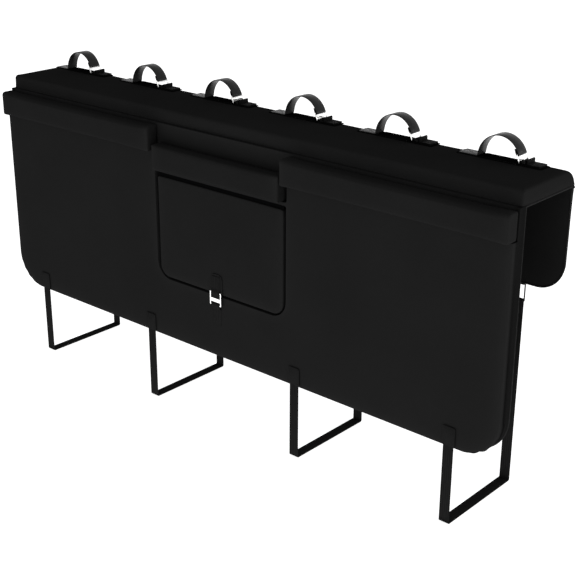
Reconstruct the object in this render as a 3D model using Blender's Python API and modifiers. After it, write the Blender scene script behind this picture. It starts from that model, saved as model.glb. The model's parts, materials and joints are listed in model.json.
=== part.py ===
"""Padded cover for a pickup tailgate that carries a row of bicycles.

Metres, +Z up. The origin is the middle of the seat, the flat underside of the top
panel that rests on the tailgate's top edge. X runs across the truck, +Y points into
the bed, so the front panel hangs on the -Y side and the back flap on the +Y side.
"""

import math

import bmesh
import bpy
from mathutils import Matrix, Vector

# Clearances between touching pieces
SEAM_GAP = 0.0003

# Padded sections
PAD_WIDTH = 1.55
GATE_SPACE = 0.1768
FRONT_THICKNESS = 0.036
FRONT_DROP = 0.537
FRONT_CORNER_RADIUS = 0.100
FRONT_TOP_RISE = 0.0025
TOP_THICKNESS = 0.0365
TOP_FRONT_SETBACK = 0.0265
TOP_FRONT_RADIUS = 0.009
TOP_SEAM_SLOPE = math.radians(35)
REAR_FOLD_RADIUS = 0.038
REAR_FOLD_LAND = 0.004
FLAP_THICKNESS = 0.0145
FLAP_DROP = 0.228
FLAP_CORNER_RADIUS = 0.060
PANEL_EDGE_ROUND = 0.0036
FLAP_EDGE_ROUND = 0.003

# Bolsters along the top front edge
BOLSTER_HEIGHT = 0.0618
BOLSTER_DEPTH = 0.0355
BOLSTER_PROUD = 0.018
BOLSTER_TOP_DROP = 0.0025
BOLSTER_EDGE_ROUND = 0.005
MIDDLE_BOLSTER_LENGTH = 0.400
MIDDLE_BOLSTER_LOWER_BY = 0.0402
BOLSTER_END_SPACE = 0.0118

# Window for the tailgate's handle and camera, and the flap that covers it
WINDOW_WIDTH = 0.420
WINDOW_HEIGHT = 0.2725
WINDOW_RADIUS = 0.045
WINDOW_HEADER = 0.0077
COVER_SIDE_SPACE = 0.010
COVER_TOP_SPACE = 0.0125
COVER_THICKNESS = 0.0145
HINGE_TAPE_THICKNESS = 0.0035

# Window closure
CLOSURE_X = -0.0055
CLOSURE_WEBBING_WIDTH = 0.0256
CLOSURE_WEBBING_THICKNESS = 0.0014
CLOSURE_ANCHOR_LENGTH = 0.040
CLOSURE_BEND_RADIUS = 0.0008
PATCH_WIDTH = 0.037
PATCH_THICKNESS = 0.002
PATCH_CORNER_RADIUS = 0.012
PATCH_TOP_ABOVE_BUCKLE = 0.044
BUCKLE_WIDTH = 0.036
BUCKLE_HEIGHT = 0.034
BUCKLE_THICKNESS = 0.0025
BUCKLE_BAR = 0.0028
BUCKLE_MIDDLE_BAR = 0.009
BUCKLE_LOWER_SLOT = 0.0062
BUCKLE_STANDOFF = 0.004
BUCKLE_BELOW_COVER = 0.028

# Down-tube straps along the rear top edge
TUBE_STRAP_COUNT = 6
TUBE_STRAP_END_SPACE = 0.1235
TUBE_STRAP_OFFSET = -0.0165
TUBE_STRAP_INSET = 0.0498
TUBE_WEBBING_WIDTH = 0.031
TUBE_WEBBING_THICKNESS = 0.0018
ARCH_HALF_SPAN = 0.049
ARCH_HEIGHT = 0.0505
BASE_LENGTH = 0.200
BASE_WIDTH = 0.036
BASE_THICKNESS = 0.0016
BASE_SEWN_THICKNESS = 0.0008
BASE_SEAT_SPACE = 0.002
BASE_CORNER_RADIUS = 0.004
SEWN_END_MARGIN = 0.006
RING_SIDE_SPACE = 0.0008
RING_LEG = 0.0028
RING_BAR = 0.0022
RING_MIDDLE_BAR = 0.005
RING_PLATE = 0.0018
RING_BAR_SPACING = 0.0172
RING_RETURN = 0.012
KEEPER_FOLD_HEIGHT = 0.0085
KEEPER_FOLD_RADIUS = 0.0016
KEEPER_FOLD_FROM_BAR = 0.013

# Straps that pass below the tailgate
UNDER_STRAP_END_SPACE = 0.1125
UNDER_STRAP_BESIDE_WINDOW = 0.0285
UNDER_WEBBING_WIDTH = 0.0255
UNDER_WEBBING_THICKNESS = 0.0018
UNDER_LOOP_DROP = 0.182
UNDER_FOLD_RADIUS = 0.003
FRONT_END_LENGTH = 0.044
FRONT_PATCH_WIDTH = 0.032
FRONT_PATCH_THICKNESS = 0.0012
FRONT_PATCH_HEM = 0.004
ADJUSTER_STANDOFF = 0.0096
ADJUSTER_SIDE_SPACE = 0.001
ADJUSTER_LEG = 0.0028
ADJUSTER_BAR = 0.004
ADJUSTER_PLATE = 0.0025
ADJUSTER_BAR_SPACING = 0.040
ADJUSTER_BELOW_FLAP = 0.010
ADJUSTER_TAIL = 0.030
REAR_TAB_LENGTH = 0.050
REAR_TAB_RETURN = 0.014

# Places worked out from the sizes above
FRONT_BACK_Y = -GATE_SPACE / 2
FRONT_FACE_Y = FRONT_BACK_Y - FRONT_THICKNESS
FLAP_INNER_Y = GATE_SPACE / 2
FLAP_OUTER_Y = FLAP_INNER_Y + FLAP_THICKNESS
TOP_FRONT_Y = FRONT_FACE_Y + TOP_FRONT_SETBACK
FOLD_BOTTOM_Z = TOP_THICKNESS - REAR_FOLD_RADIUS - REAR_FOLD_LAND
SIDE_BOLSTER_TOP_Z = -BOLSTER_TOP_DROP
SIDE_BOLSTER_BOTTOM_Z = SIDE_BOLSTER_TOP_Z - BOLSTER_HEIGHT
MIDDLE_BOLSTER_BOTTOM_Z = SIDE_BOLSTER_BOTTOM_Z - MIDDLE_BOLSTER_LOWER_BY
SIDE_BOLSTER_INNER_X = MIDDLE_BOLSTER_LENGTH / 2 + BOLSTER_END_SPACE
WINDOW_TOP_Z = MIDDLE_BOLSTER_BOTTOM_Z - SEAM_GAP - WINDOW_HEADER
WINDOW_BOTTOM_Z = WINDOW_TOP_Z - WINDOW_HEIGHT
COVER_TOP_Z = WINDOW_TOP_Z - COVER_TOP_SPACE
COVER_BOTTOM_Z = WINDOW_BOTTOM_Z + COVER_SIDE_SPACE
STRAP_BASE_TOP_Z = TOP_THICKNESS + SEAM_GAP + BASE_THICKNESS
BASE_SEWN_TOP_Z = TOP_THICKNESS + SEAM_GAP + BASE_SEWN_THICKNESS
TUBE_WEBBING_FLAT_Z = BASE_SEWN_TOP_Z + SEAM_GAP + TUBE_WEBBING_THICKNESS / 2
TUBE_STRAP_Y = FLAP_OUTER_Y - TUBE_STRAP_INSET
TUBE_STRAP_PITCH = (PAD_WIDTH - 2 * TUBE_STRAP_END_SPACE) / (TUBE_STRAP_COUNT - 1)
OUTER_STRAP_X = PAD_WIDTH / 2 - UNDER_STRAP_END_SPACE
INNER_STRAP_X = WINDOW_WIDTH / 2 + UNDER_STRAP_BESIDE_WINDOW

ARC_STEPS = 8
WRAP_STEPS = 6
ARCH_STEPS = 36

# Turns that stand a flat outline up: its thickness then runs along Y, or along X
FACING_Y = Matrix.Rotation(math.pi / 2, 4, "X")
FACING_X = Matrix.Rotation(math.pi / 2, 4, "Z") @ FACING_Y


def clear_scene():
    """Remove every object, so that the file holds the pad alone."""
    for item in list(bpy.data.objects):
        bpy.data.objects.remove(item, do_unlink=True)


def make_collection(name):
    """Add a collection to the scene."""
    collection = bpy.data.collections.new(name)
    bpy.context.scene.collection.children.link(collection)
    return collection


def make_material(name, color, roughness, metallic=0.0):
    """Make a Principled material from a linear colour."""
    material = bpy.data.materials.new(name)
    material.use_nodes = True
    shader = material.node_tree.nodes["Principled BSDF"]
    shader.inputs["Base Color"].default_value = (*color, 1.0)
    shader.inputs["Roughness"].default_value = roughness
    shader.inputs["Metallic"].default_value = metallic
    material.diffuse_color = (*color, 1.0)
    return material


def cover_fabric():
    """Black coated polyester of the padded sections."""
    return make_material("cover_fabric", (0.012, 0.012, 0.013), 0.75)


def strap_webbing():
    """Black woven nylon webbing."""
    return make_material("strap_webbing", (0.010, 0.010, 0.011), 0.55)


def base_tape():
    """Matt black tape that the down-tube straps are sewn to."""
    return make_material("base_tape", (0.004, 0.004, 0.004), 0.85)


def plated_steel():
    """Bright plated steel of the rings and the slider."""
    return make_material("plated_steel", (0.62, 0.63, 0.64), 0.28, 1.0)


def black_plastic():
    """Moulded black plastic of the strap adjusters."""
    return make_material("black_plastic", (0.014, 0.014, 0.015), 0.45)


def arc(center, radius, start, end, steps):
    """Points on a circular arc, angles in radians, both ends included."""
    points = []
    for index in range(steps + 1):
        angle = start + (end - start) * index / steps
        points.append((center[0] + radius * math.cos(angle), center[1] + radius * math.sin(angle)))
    return points


def fillet_path(corners, radii, steps):
    """Round the inner corners of an open path; radii has one value for each of them."""
    points = [Vector(corners[0])]
    for index, radius in enumerate(radii):
        corner = Vector(corners[index + 1])
        back = (Vector(corners[index]) - corner).normalized()
        ahead = (Vector(corners[index + 2]) - corner).normalized()
        half_angle = back.angle(ahead) / 2
        setback = radius / math.tan(half_angle)
        center = corner + (back + ahead).normalized() * (radius / math.sin(half_angle))
        start = corner + back * setback - center
        sweep = start.angle_signed(corner + ahead * setback - center)
        for step in range(steps + 1):
            points.append(center + rotated(start, -sweep * step / steps))
    points.append(Vector(corners[-1]))
    return drop_repeats(points)


def rotated(vector, angle):
    """Turn a flat vector anticlockwise."""
    cosine, sine = math.cos(angle), math.sin(angle)
    return Vector((vector.x * cosine - vector.y * sine, vector.x * sine + vector.y * cosine))


def drop_repeats(points):
    """Leave out points that fall on the one before."""
    kept = [points[0]]
    for point in points[1:]:
        if (point - kept[-1]).length > 1e-6:
            kept.append(point)
    return kept


def rounded_rectangle(left, bottom, right, top, lower_radius, upper_radius):
    """Anticlockwise outline of a rectangle with its lower and upper corners rounded."""
    points = []
    for x_side, y_side, radius, start in (
        (right, bottom, lower_radius, -math.pi / 2),
        (right, top, upper_radius, 0.0),
        (left, top, upper_radius, math.pi / 2),
        (left, bottom, lower_radius, math.pi),
    ):
        inward_x = -radius if x_side == right else radius
        inward_y = radius if y_side == bottom else -radius
        if radius > 0:
            points += arc((x_side + inward_x, y_side + inward_y), radius, start, start + math.pi / 2, ARC_STEPS)
        else:
            points.append((x_side, y_side))
    return points


def flat_outline(name, outlines, thickness, stand, location, collection, material):
    """A flat curve object, filled and extruded by half its thickness each way."""
    curve = bpy.data.curves.new(name, "CURVE")
    curve.dimensions = "2D"
    curve.fill_mode = "BOTH"
    curve.extrude = thickness / 2
    for outline in outlines:
        spline = curve.splines.new("POLY")
        spline.points.add(len(outline) - 1)
        for point, (across, up) in zip(spline.points, outline):
            point.co = (across, up, 0.0, 1.0)
        spline.use_cyclic_u = True
    curve.materials.append(material)
    item = bpy.data.objects.new(name, curve)
    item.matrix_world = Matrix.Translation(location) @ stand
    collection.objects.link(item)
    return item


def as_mesh(item, collection):
    """Turn a curve object into a mesh object of the same name, its caps welded on."""
    bpy.context.view_layer.update()
    evaluated = item.evaluated_get(bpy.context.evaluated_depsgraph_get())
    mesh = bpy.data.meshes.new_from_object(evaluated)
    shape = bmesh.new()
    shape.from_mesh(mesh)
    bmesh.ops.remove_doubles(shape, verts=shape.verts, dist=0.00002)
    shape.to_mesh(mesh)
    shape.free()
    place = item.matrix_world.copy()
    name = item.name
    bpy.data.objects.remove(item, do_unlink=True)
    solid = bpy.data.objects.new(name, mesh)
    mesh.name = name
    solid.matrix_world = place
    collection.objects.link(solid)
    return solid


def block(name, low, high, collection, material=None):
    """A box between two corners, its size in the mesh and its middle as its location."""
    size = Vector(high) - Vector(low)
    shape = bmesh.new()
    bmesh.ops.create_cube(shape, size=1.0)
    bmesh.ops.scale(shape, vec=size, verts=shape.verts)
    mesh = bpy.data.meshes.new(name)
    shape.to_mesh(mesh)
    shape.free()
    if material:
        mesh.materials.append(material)
    item = bpy.data.objects.new(name, mesh)
    item.location = (Vector(low) + Vector(high)) / 2
    collection.objects.link(item)
    return item


def round_edges(item, width, segments):
    """Round the sharp edges of a solid and leave its arcs alone."""
    bevel = item.modifiers.new("rounded_edges", "BEVEL")
    bevel.width = width
    bevel.segments = segments
    bevel.limit_method = "ANGLE"
    bevel.angle_limit = math.radians(40)
    bevel.use_clamp_overlap = False
    bevel.loop_slide = False


def cut(item, cutter):
    """Take a cutter's space out of a solid."""
    cutter.hide_render = True
    cutter.display_type = "WIRE"
    boolean = item.modifiers.new(cutter.name, "BOOLEAN")
    boolean.operation = "DIFFERENCE"
    boolean.solver = "EXACT"
    boolean.object = cutter


def ribbon(name, path, width, thickness, stand, location, collection, material):
    """Flat webbing that follows a path, as an open strip with Solidify."""
    shape = bmesh.new()
    spine = [shape.verts.new((point[0], point[1], -width / 2)) for point in path]
    edges = [shape.edges.new(pair) for pair in zip(spine, spine[1:])]
    swept = bmesh.ops.extrude_edge_only(shape, edges=edges)
    moved = [element for element in swept["geom"] if isinstance(element, bmesh.types.BMVert)]
    bmesh.ops.translate(shape, verts=moved, vec=(0, 0, width))
    bmesh.ops.recalc_face_normals(shape, faces=shape.faces)
    mesh = bpy.data.meshes.new(name)
    shape.to_mesh(mesh)
    shape.free()
    mesh.materials.append(material)
    mesh.shade_smooth()
    item = bpy.data.objects.new(name, mesh)
    item.matrix_world = Matrix.Translation(location) @ stand
    collection.objects.link(item)
    solidify = item.modifiers.new("webbing_thickness", "SOLIDIFY")
    solidify.thickness = thickness
    solidify.offset = 0.0
    solidify.use_even_offset = True
    return item


def wrap_radius(bar_height, bar_thickness, webbing_thickness):
    """Centre-line radius of webbing that turns round a bar with the seam gap left."""
    return math.hypot(bar_height, bar_thickness) / 2 + SEAM_GAP + webbing_thickness / 2


def build_front_panel(parts, cutters, fabric):
    """Front panel: rounded lower corners, a window, and a rebate where the bolsters sit."""
    half_width = PAD_WIDTH / 2
    top = FRONT_TOP_RISE - SEAM_GAP
    outline = rounded_rectangle(-half_width, -FRONT_DROP, half_width, top, FRONT_CORNER_RADIUS, 0.0)
    middle_y = (FRONT_FACE_Y + FRONT_BACK_Y) / 2
    slab = flat_outline("front_panel", [outline], FRONT_THICKNESS, FACING_Y, (0, middle_y, 0), parts, fabric)
    panel = as_mesh(slab, parts)

    half_window = WINDOW_WIDTH / 2
    opening = rounded_rectangle(-half_window, WINDOW_BOTTOM_Z, half_window, WINDOW_TOP_Z, WINDOW_RADIUS, 0.0)
    window = flat_outline(
        "window_cutter", [opening], FRONT_THICKNESS * 2, FACING_Y, (0, middle_y, 0), cutters, fabric
    )
    cut(panel, as_mesh(window, cutters))

    rebate_back = FRONT_FACE_Y - BOLSTER_PROUD + BOLSTER_DEPTH + SEAM_GAP
    rebate_front = FRONT_FACE_Y - BOLSTER_DEPTH
    past_top = BOLSTER_HEIGHT
    past_end = PAD_WIDTH
    side_shelf = SIDE_BOLSTER_BOTTOM_Z - SEAM_GAP
    middle_shelf = MIDDLE_BOLSTER_BOTTOM_Z - SEAM_GAP
    side = block("side_rebate", (-past_end, rebate_front, side_shelf), (past_end, rebate_back, past_top), cutters)
    inner = SIDE_BOLSTER_INNER_X - SEAM_GAP
    middle = block("middle_rebate", (-inner, rebate_front, middle_shelf), (inner, rebate_back, past_top), cutters)
    cut(panel, side)
    cut(panel, middle)
    round_edges(panel, PANEL_EDGE_ROUND, 2)
    return panel


def build_top_panel(parts, fabric):
    """Top panel: a rounded front edge seated on the front panel, and the fold at the rear edge."""
    round_y = FRONT_BACK_Y - PANEL_EDGE_ROUND
    round_z = FRONT_TOP_RISE - SEAM_GAP - PANEL_EDGE_ROUND
    reach = PANEL_EDGE_ROUND + SEAM_GAP
    fall, run = math.cos(TOP_SEAM_SLOPE), math.sin(TOP_SEAM_SLOPE)
    seat_front_y = round_y + (reach + fall * round_z) / run
    seam_back_y = round_y + (reach - fall * (FRONT_TOP_RISE - round_z)) / run
    front_corner = (TOP_FRONT_Y + TOP_FRONT_RADIUS, TOP_THICKNESS - TOP_FRONT_RADIUS)
    rear_corner = (FLAP_OUTER_Y - REAR_FOLD_RADIUS, TOP_THICKNESS - REAR_FOLD_RADIUS)
    section = [
        (TOP_FRONT_Y, FRONT_TOP_RISE),
        (seam_back_y, FRONT_TOP_RISE),
        (seat_front_y, 0.0),
        (FLAP_INNER_Y, 0.0),
        (FLAP_INNER_Y, FOLD_BOTTOM_Z),
        (FLAP_OUTER_Y, FOLD_BOTTOM_Z),
    ]
    section += arc(rear_corner, REAR_FOLD_RADIUS, 0.0, math.pi / 2, ARC_STEPS)
    section += arc(front_corner, TOP_FRONT_RADIUS, math.pi / 2, math.pi, ARC_STEPS)
    slab = flat_outline("top_panel", [section], PAD_WIDTH, FACING_X, (0, 0, 0), parts, fabric)
    panel = as_mesh(slab, parts)
    round_edges(panel, FLAP_EDGE_ROUND, 2)
    return panel


def build_back_flap(parts, fabric):
    """Back flap: a thin padded flap with rounded lower corners."""
    top = FOLD_BOTTOM_Z - SEAM_GAP
    outline = rounded_rectangle(-PAD_WIDTH / 2, -FLAP_DROP, PAD_WIDTH / 2, top, FLAP_CORNER_RADIUS, 0.0)
    middle_y = (FLAP_INNER_Y + FLAP_OUTER_Y) / 2
    slab = flat_outline("back_flap", [outline], FLAP_THICKNESS, FACING_Y, (0, middle_y, 0), parts, fabric)
    flap = as_mesh(slab, parts)
    round_edges(flap, FLAP_EDGE_ROUND, 2)
    return flap


def build_bolsters(parts, fabric):
    """Three padded bars in the rebate; the middle one sits lower, above the window."""
    front = FRONT_FACE_Y - BOLSTER_PROUD
    back = front + BOLSTER_DEPTH
    side = PAD_WIDTH / 2
    half_middle = MIDDLE_BOLSTER_LENGTH / 2
    places = (
        ("bolster_left", -side, -SIDE_BOLSTER_INNER_X, SIDE_BOLSTER_BOTTOM_Z),
        ("bolster_middle", -half_middle, half_middle, MIDDLE_BOLSTER_BOTTOM_Z),
        ("bolster_right", SIDE_BOLSTER_INNER_X, side, SIDE_BOLSTER_BOTTOM_Z),
    )
    for name, left, right, bottom in places:
        bar = block(name, (left, front, bottom), (right, back, bottom + BOLSTER_HEIGHT), parts, fabric)
        round_edges(bar, BOLSTER_EDGE_ROUND, 3)


def build_window_cover(parts, fabric, tape):
    """Padded flap in the window, and the tape that it hangs from."""
    half = WINDOW_WIDTH / 2 - COVER_SIDE_SPACE
    radius = WINDOW_RADIUS - COVER_SIDE_SPACE
    outline = rounded_rectangle(-half, COVER_BOTTOM_Z, half, COVER_TOP_Z, radius, 0.0)
    middle_y = FRONT_FACE_Y + COVER_THICKNESS / 2
    slab = flat_outline("window_flap", [outline], COVER_THICKNESS, FACING_Y, (0, middle_y, 0), parts, fabric)
    round_edges(as_mesh(slab, parts), FLAP_EDGE_ROUND, 2)

    low = (-half, middle_y - HINGE_TAPE_THICKNESS / 2, COVER_TOP_Z + SEAM_GAP)
    high = (half, middle_y + HINGE_TAPE_THICKNESS / 2, WINDOW_TOP_Z - SEAM_GAP)
    block("window_hinge_tape", low, high, parts, tape)


def build_closure(parts, webbing, steel):
    """Slider, reinforcement patch and the webbing threaded through the slider."""
    bottom = COVER_BOTTOM_Z - BUCKLE_BELOW_COVER
    top = bottom + BUCKLE_HEIGHT
    lower_bar_top = bottom + BUCKLE_BAR
    middle_bar_bottom = lower_bar_top + BUCKLE_LOWER_SLOT
    middle_bar_top = middle_bar_bottom + BUCKLE_MIDDLE_BAR
    upper_bar_bottom = top - BUCKLE_BAR
    half = BUCKLE_WIDTH / 2
    inner = half - BUCKLE_BAR
    outlines = [
        rounded_rectangle(-half, bottom, half, top, BUCKLE_BAR / 2, BUCKLE_BAR / 2),
        rounded_rectangle(-inner, lower_bar_top, inner, middle_bar_bottom, 0.0, 0.0),
        rounded_rectangle(-inner, middle_bar_top, inner, upper_bar_bottom, 0.0, 0.0),
    ]
    plate_back = FRONT_FACE_Y - BUCKLE_STANDOFF
    plate_front = plate_back - BUCKLE_THICKNESS
    plate_y = (plate_back + plate_front) / 2
    flat_outline(
        "closure_buckle", outlines, BUCKLE_THICKNESS, FACING_Y, (CLOSURE_X, plate_y, 0), parts, steel
    )

    patch_top = top + PATCH_TOP_ABOVE_BUCKLE
    patch_bottom = COVER_BOTTOM_Z + FLAP_EDGE_ROUND
    patch = rounded_rectangle(
        -PATCH_WIDTH / 2, patch_bottom, PATCH_WIDTH / 2, patch_top, 0.0, PATCH_CORNER_RADIUS
    )
    patch_y = FRONT_FACE_Y - SEAM_GAP - PATCH_THICKNESS / 2
    flat_outline(
        "closure_patch", [patch], PATCH_THICKNESS, FACING_Y, (CLOSURE_X, patch_y, 0), parts, webbing
    )

    half_webbing = CLOSURE_WEBBING_THICKNESS / 2
    on_panel = FRONT_FACE_Y - SEAM_GAP - half_webbing
    over_bars = plate_front - SEAM_GAP - half_webbing
    under_bar = plate_back + SEAM_GAP + half_webbing
    on_patch = FRONT_FACE_Y - 2 * SEAM_GAP - PATCH_THICKNESS - half_webbing
    clear = SEAM_GAP + CLOSURE_WEBBING_THICKNESS
    corners = [
        (on_panel, bottom - CLOSURE_ANCHOR_LENGTH - BUCKLE_LOWER_SLOT * 2),
        (on_panel, bottom - BUCKLE_LOWER_SLOT * 2),
        (over_bars, bottom - SEAM_GAP),
        (over_bars, lower_bar_top + clear / 2),
        (under_bar, middle_bar_bottom - clear / 2),
        (under_bar, middle_bar_top + clear / 2),
        (over_bars, upper_bar_bottom - clear / 2),
        (over_bars, top + SEAM_GAP),
        (on_patch, top + BUCKLE_LOWER_SLOT),
        (on_patch, patch_top - BUCKLE_BAR * 2),
    ]
    path = fillet_path(corners, [CLOSURE_BEND_RADIUS] * (len(corners) - 2), 2)
    ribbon(
        "closure_strap", path, CLOSURE_WEBBING_WIDTH, CLOSURE_WEBBING_THICKNESS,
        FACING_X, (CLOSURE_X, 0, 0), parts, webbing,
    )


def ring_place():
    """Tilt of the ring and its lower and upper bar centres, measured from the arch's middle.

    The ring carries on in the direction in which the arch's webbing reaches it, so its
    tilt and the height of its upper bar are worked out together.
    """
    wrap = wrap_radius(RING_BAR, RING_PLATE, TUBE_WEBBING_THICKNESS)
    lower_z = TUBE_WEBBING_FLAT_Z + wrap
    height = RING_BAR_SPACING
    for _ in range(12):
        rise = math.asin(min(height / ARCH_HEIGHT, 0.95))
        tilt = math.atan2(ARCH_HALF_SPAN * math.sin(rise), ARCH_HEIGHT * math.cos(rise))
        reach = RING_BAR_SPACING * math.cos(tilt) + wrap * math.sin(tilt)
        height = lower_z - STRAP_BASE_TOP_Z + reach
    upper_x = ARCH_HALF_SPAN * math.cos(rise) - wrap * math.cos(tilt)
    upper = Vector((upper_x, lower_z + RING_BAR_SPACING * math.cos(tilt)))
    lower = upper + RING_BAR_SPACING * Vector((math.sin(tilt), -math.cos(tilt)))
    return tilt, rise, wrap, lower, upper


def build_strap_base(number, center_x, parts, cutters, tape):
    """Tape under one down-tube strap, pressed thinner at both ends by the stitching."""
    half_length = BASE_LENGTH / 2
    half_width = BASE_WIDTH / 2
    outline = rounded_rectangle(
        -half_length, -half_width, half_length, half_width, BASE_CORNER_RADIUS, BASE_CORNER_RADIUS
    )
    place = (center_x, TUBE_STRAP_Y, TOP_THICKNESS + SEAM_GAP + BASE_THICKNESS / 2)
    slab = flat_outline(f"strap_base_{number}", [outline], BASE_THICKNESS, Matrix.Identity(4), place, parts, tape)
    base = as_mesh(slab, parts)

    _, _, wrap, lower, _ = ring_place()
    from_webbing = TUBE_WEBBING_THICKNESS / 2 + BASE_SEAT_SPACE
    seat_left = from_webbing - ARCH_HALF_SPAN
    seat_right = lower.x - wrap - from_webbing
    front, back = TUBE_STRAP_Y - BASE_WIDTH, TUBE_STRAP_Y + BASE_WIDTH
    past_top = STRAP_BASE_TOP_Z + BASE_THICKNESS
    for side, left, right in (("left", -BASE_LENGTH, seat_left), ("right", seat_right, BASE_LENGTH)):
        low = (center_x + left, front, BASE_SEWN_TOP_Z)
        high = (center_x + right, back, past_top)
        cut(base, block(f"{side}_sewn_end_{number}", low, high, cutters))


def build_tube_strap(number, center_x, parts, webbing):
    """Arched webbing: sewn down at its left end and folded round the ring at its right."""
    tilt, rise, wrap, _, upper = ring_place()
    along = Vector((-math.sin(tilt), math.cos(tilt)))
    outward = Vector((math.cos(tilt), math.sin(tilt)))
    foot_lift = TUBE_WEBBING_THICKNESS * 2
    foot = fillet_path(
        [
            (SEWN_END_MARGIN - BASE_LENGTH / 2, TUBE_WEBBING_FLAT_Z),
            (-ARCH_HALF_SPAN, TUBE_WEBBING_FLAT_Z),
            (-ARCH_HALF_SPAN, TUBE_WEBBING_FLAT_Z + foot_lift * 2),
        ],
        [foot_lift],
        WRAP_STEPS,
    )[:-1]
    first = math.pi - math.asin((TUBE_WEBBING_FLAT_Z + foot_lift - STRAP_BASE_TOP_Z) / ARCH_HEIGHT)
    arch = []
    for index in range(1, ARCH_STEPS + 1):
        angle = first + (rise - first) * index / ARCH_STEPS
        arch.append(
            Vector((ARCH_HALF_SPAN * math.cos(angle), STRAP_BASE_TOP_Z + ARCH_HEIGHT * math.sin(angle)))
        )
    fold = fillet_path(
        [
            upper + wrap * outward,
            upper + wrap * outward - wrap * along,
            upper - wrap * outward - wrap * along,
            upper - wrap * outward + RING_RETURN * along,
        ],
        [wrap * 0.999, wrap * 0.999],
        WRAP_STEPS,
    )
    path = drop_repeats(foot + arch + fold[1:])
    ribbon(
        f"tube_strap_{number}", path, TUBE_WEBBING_WIDTH, TUBE_WEBBING_THICKNESS,
        FACING_Y, (center_x, TUBE_STRAP_Y, 0), parts, webbing,
    )


def build_tube_ring(number, center_x, parts, steel):
    """Flat plated ring with a middle bar, in line with the end of the arch."""
    tilt, _, wrap, lower, upper = ring_place()
    middle = (lower + upper) / 2
    half = TUBE_WEBBING_WIDTH / 2 + RING_SIDE_SPACE + RING_LEG
    inner = half - RING_LEG
    top_slot_top = RING_BAR_SPACING / 2 - RING_BAR / 2
    bottom_slot_bottom = -top_slot_top
    middle_bar_top = RING_BAR_SPACING / 2 - wrap - TUBE_WEBBING_THICKNESS / 2 - SEAM_GAP
    middle_bar_bottom = middle_bar_top - RING_MIDDLE_BAR
    edge = RING_BAR_SPACING / 2 + RING_BAR / 2
    outlines = [
        rounded_rectangle(-half, -edge, half, edge, RING_BAR, RING_BAR),
        rounded_rectangle(-inner, middle_bar_top, inner, top_slot_top, 0.0, 0.0),
        rounded_rectangle(-inner, bottom_slot_bottom, inner, middle_bar_bottom, 0.0, 0.0),
    ]
    lean = Matrix.Rotation(-tilt, 4, "Y") @ FACING_X
    place = (center_x + middle.x, TUBE_STRAP_Y, middle.y)
    flat_outline(f"tube_ring_{number}", outlines, RING_PLATE, lean, place, parts, steel)


def build_ring_keeper(number, center_x, parts, webbing):
    """Short webbing that holds the ring's lower bar, with its folded end standing up."""
    _, _, wrap, lower, _ = ring_place()
    half_webbing = TUBE_WEBBING_THICKNESS / 2
    flat_z = TUBE_WEBBING_FLAT_Z
    upper_z = flat_z + TUBE_WEBBING_THICKNESS + SEAM_GAP
    end_x = BASE_LENGTH / 2 - SEWN_END_MARGIN
    fold_x = lower.x + KEEPER_FOLD_FROM_BAR
    fold_right_x = fold_x + 2 * KEEPER_FOLD_RADIUS
    fold_top = upper_z + KEEPER_FOLD_HEIGHT
    corners = [
        (end_x, flat_z),
        (lower.x - wrap, flat_z),
        (lower.x - wrap, lower.y + wrap),
        (lower.x + wrap / 2, lower.y + wrap),
        (lower.x + 2 * wrap, upper_z),
        (fold_x, upper_z),
        (fold_x, fold_top),
        (fold_right_x, fold_top),
        (fold_right_x, upper_z),
        (end_x, upper_z),
    ]
    tight = KEEPER_FOLD_RADIUS * 0.999
    radii = [wrap * 0.999, wrap * 0.999, half_webbing, half_webbing, half_webbing * 1.2, tight, tight]
    radii.append(half_webbing * 1.2)
    path = fillet_path(corners, radii, WRAP_STEPS)
    ribbon(
        f"ring_keeper_{number}", path, TUBE_WEBBING_WIDTH, TUBE_WEBBING_THICKNESS,
        FACING_Y, (center_x, TUBE_STRAP_Y, 0), parts, webbing,
    )


def build_tube_straps(parts, cutters, webbing, tape, steel):
    """The row of down-tube straps along the rear top edge."""
    for index in range(TUBE_STRAP_COUNT):
        from_middle = index - (TUBE_STRAP_COUNT - 1) / 2
        center_x = TUBE_STRAP_OFFSET + from_middle * TUBE_STRAP_PITCH
        number = index + 1
        build_strap_base(number, center_x, parts, cutters, tape)
        build_tube_strap(number, center_x, parts, webbing)
        build_tube_ring(number, center_x, parts, steel)
        build_ring_keeper(number, center_x, parts, webbing)


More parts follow.
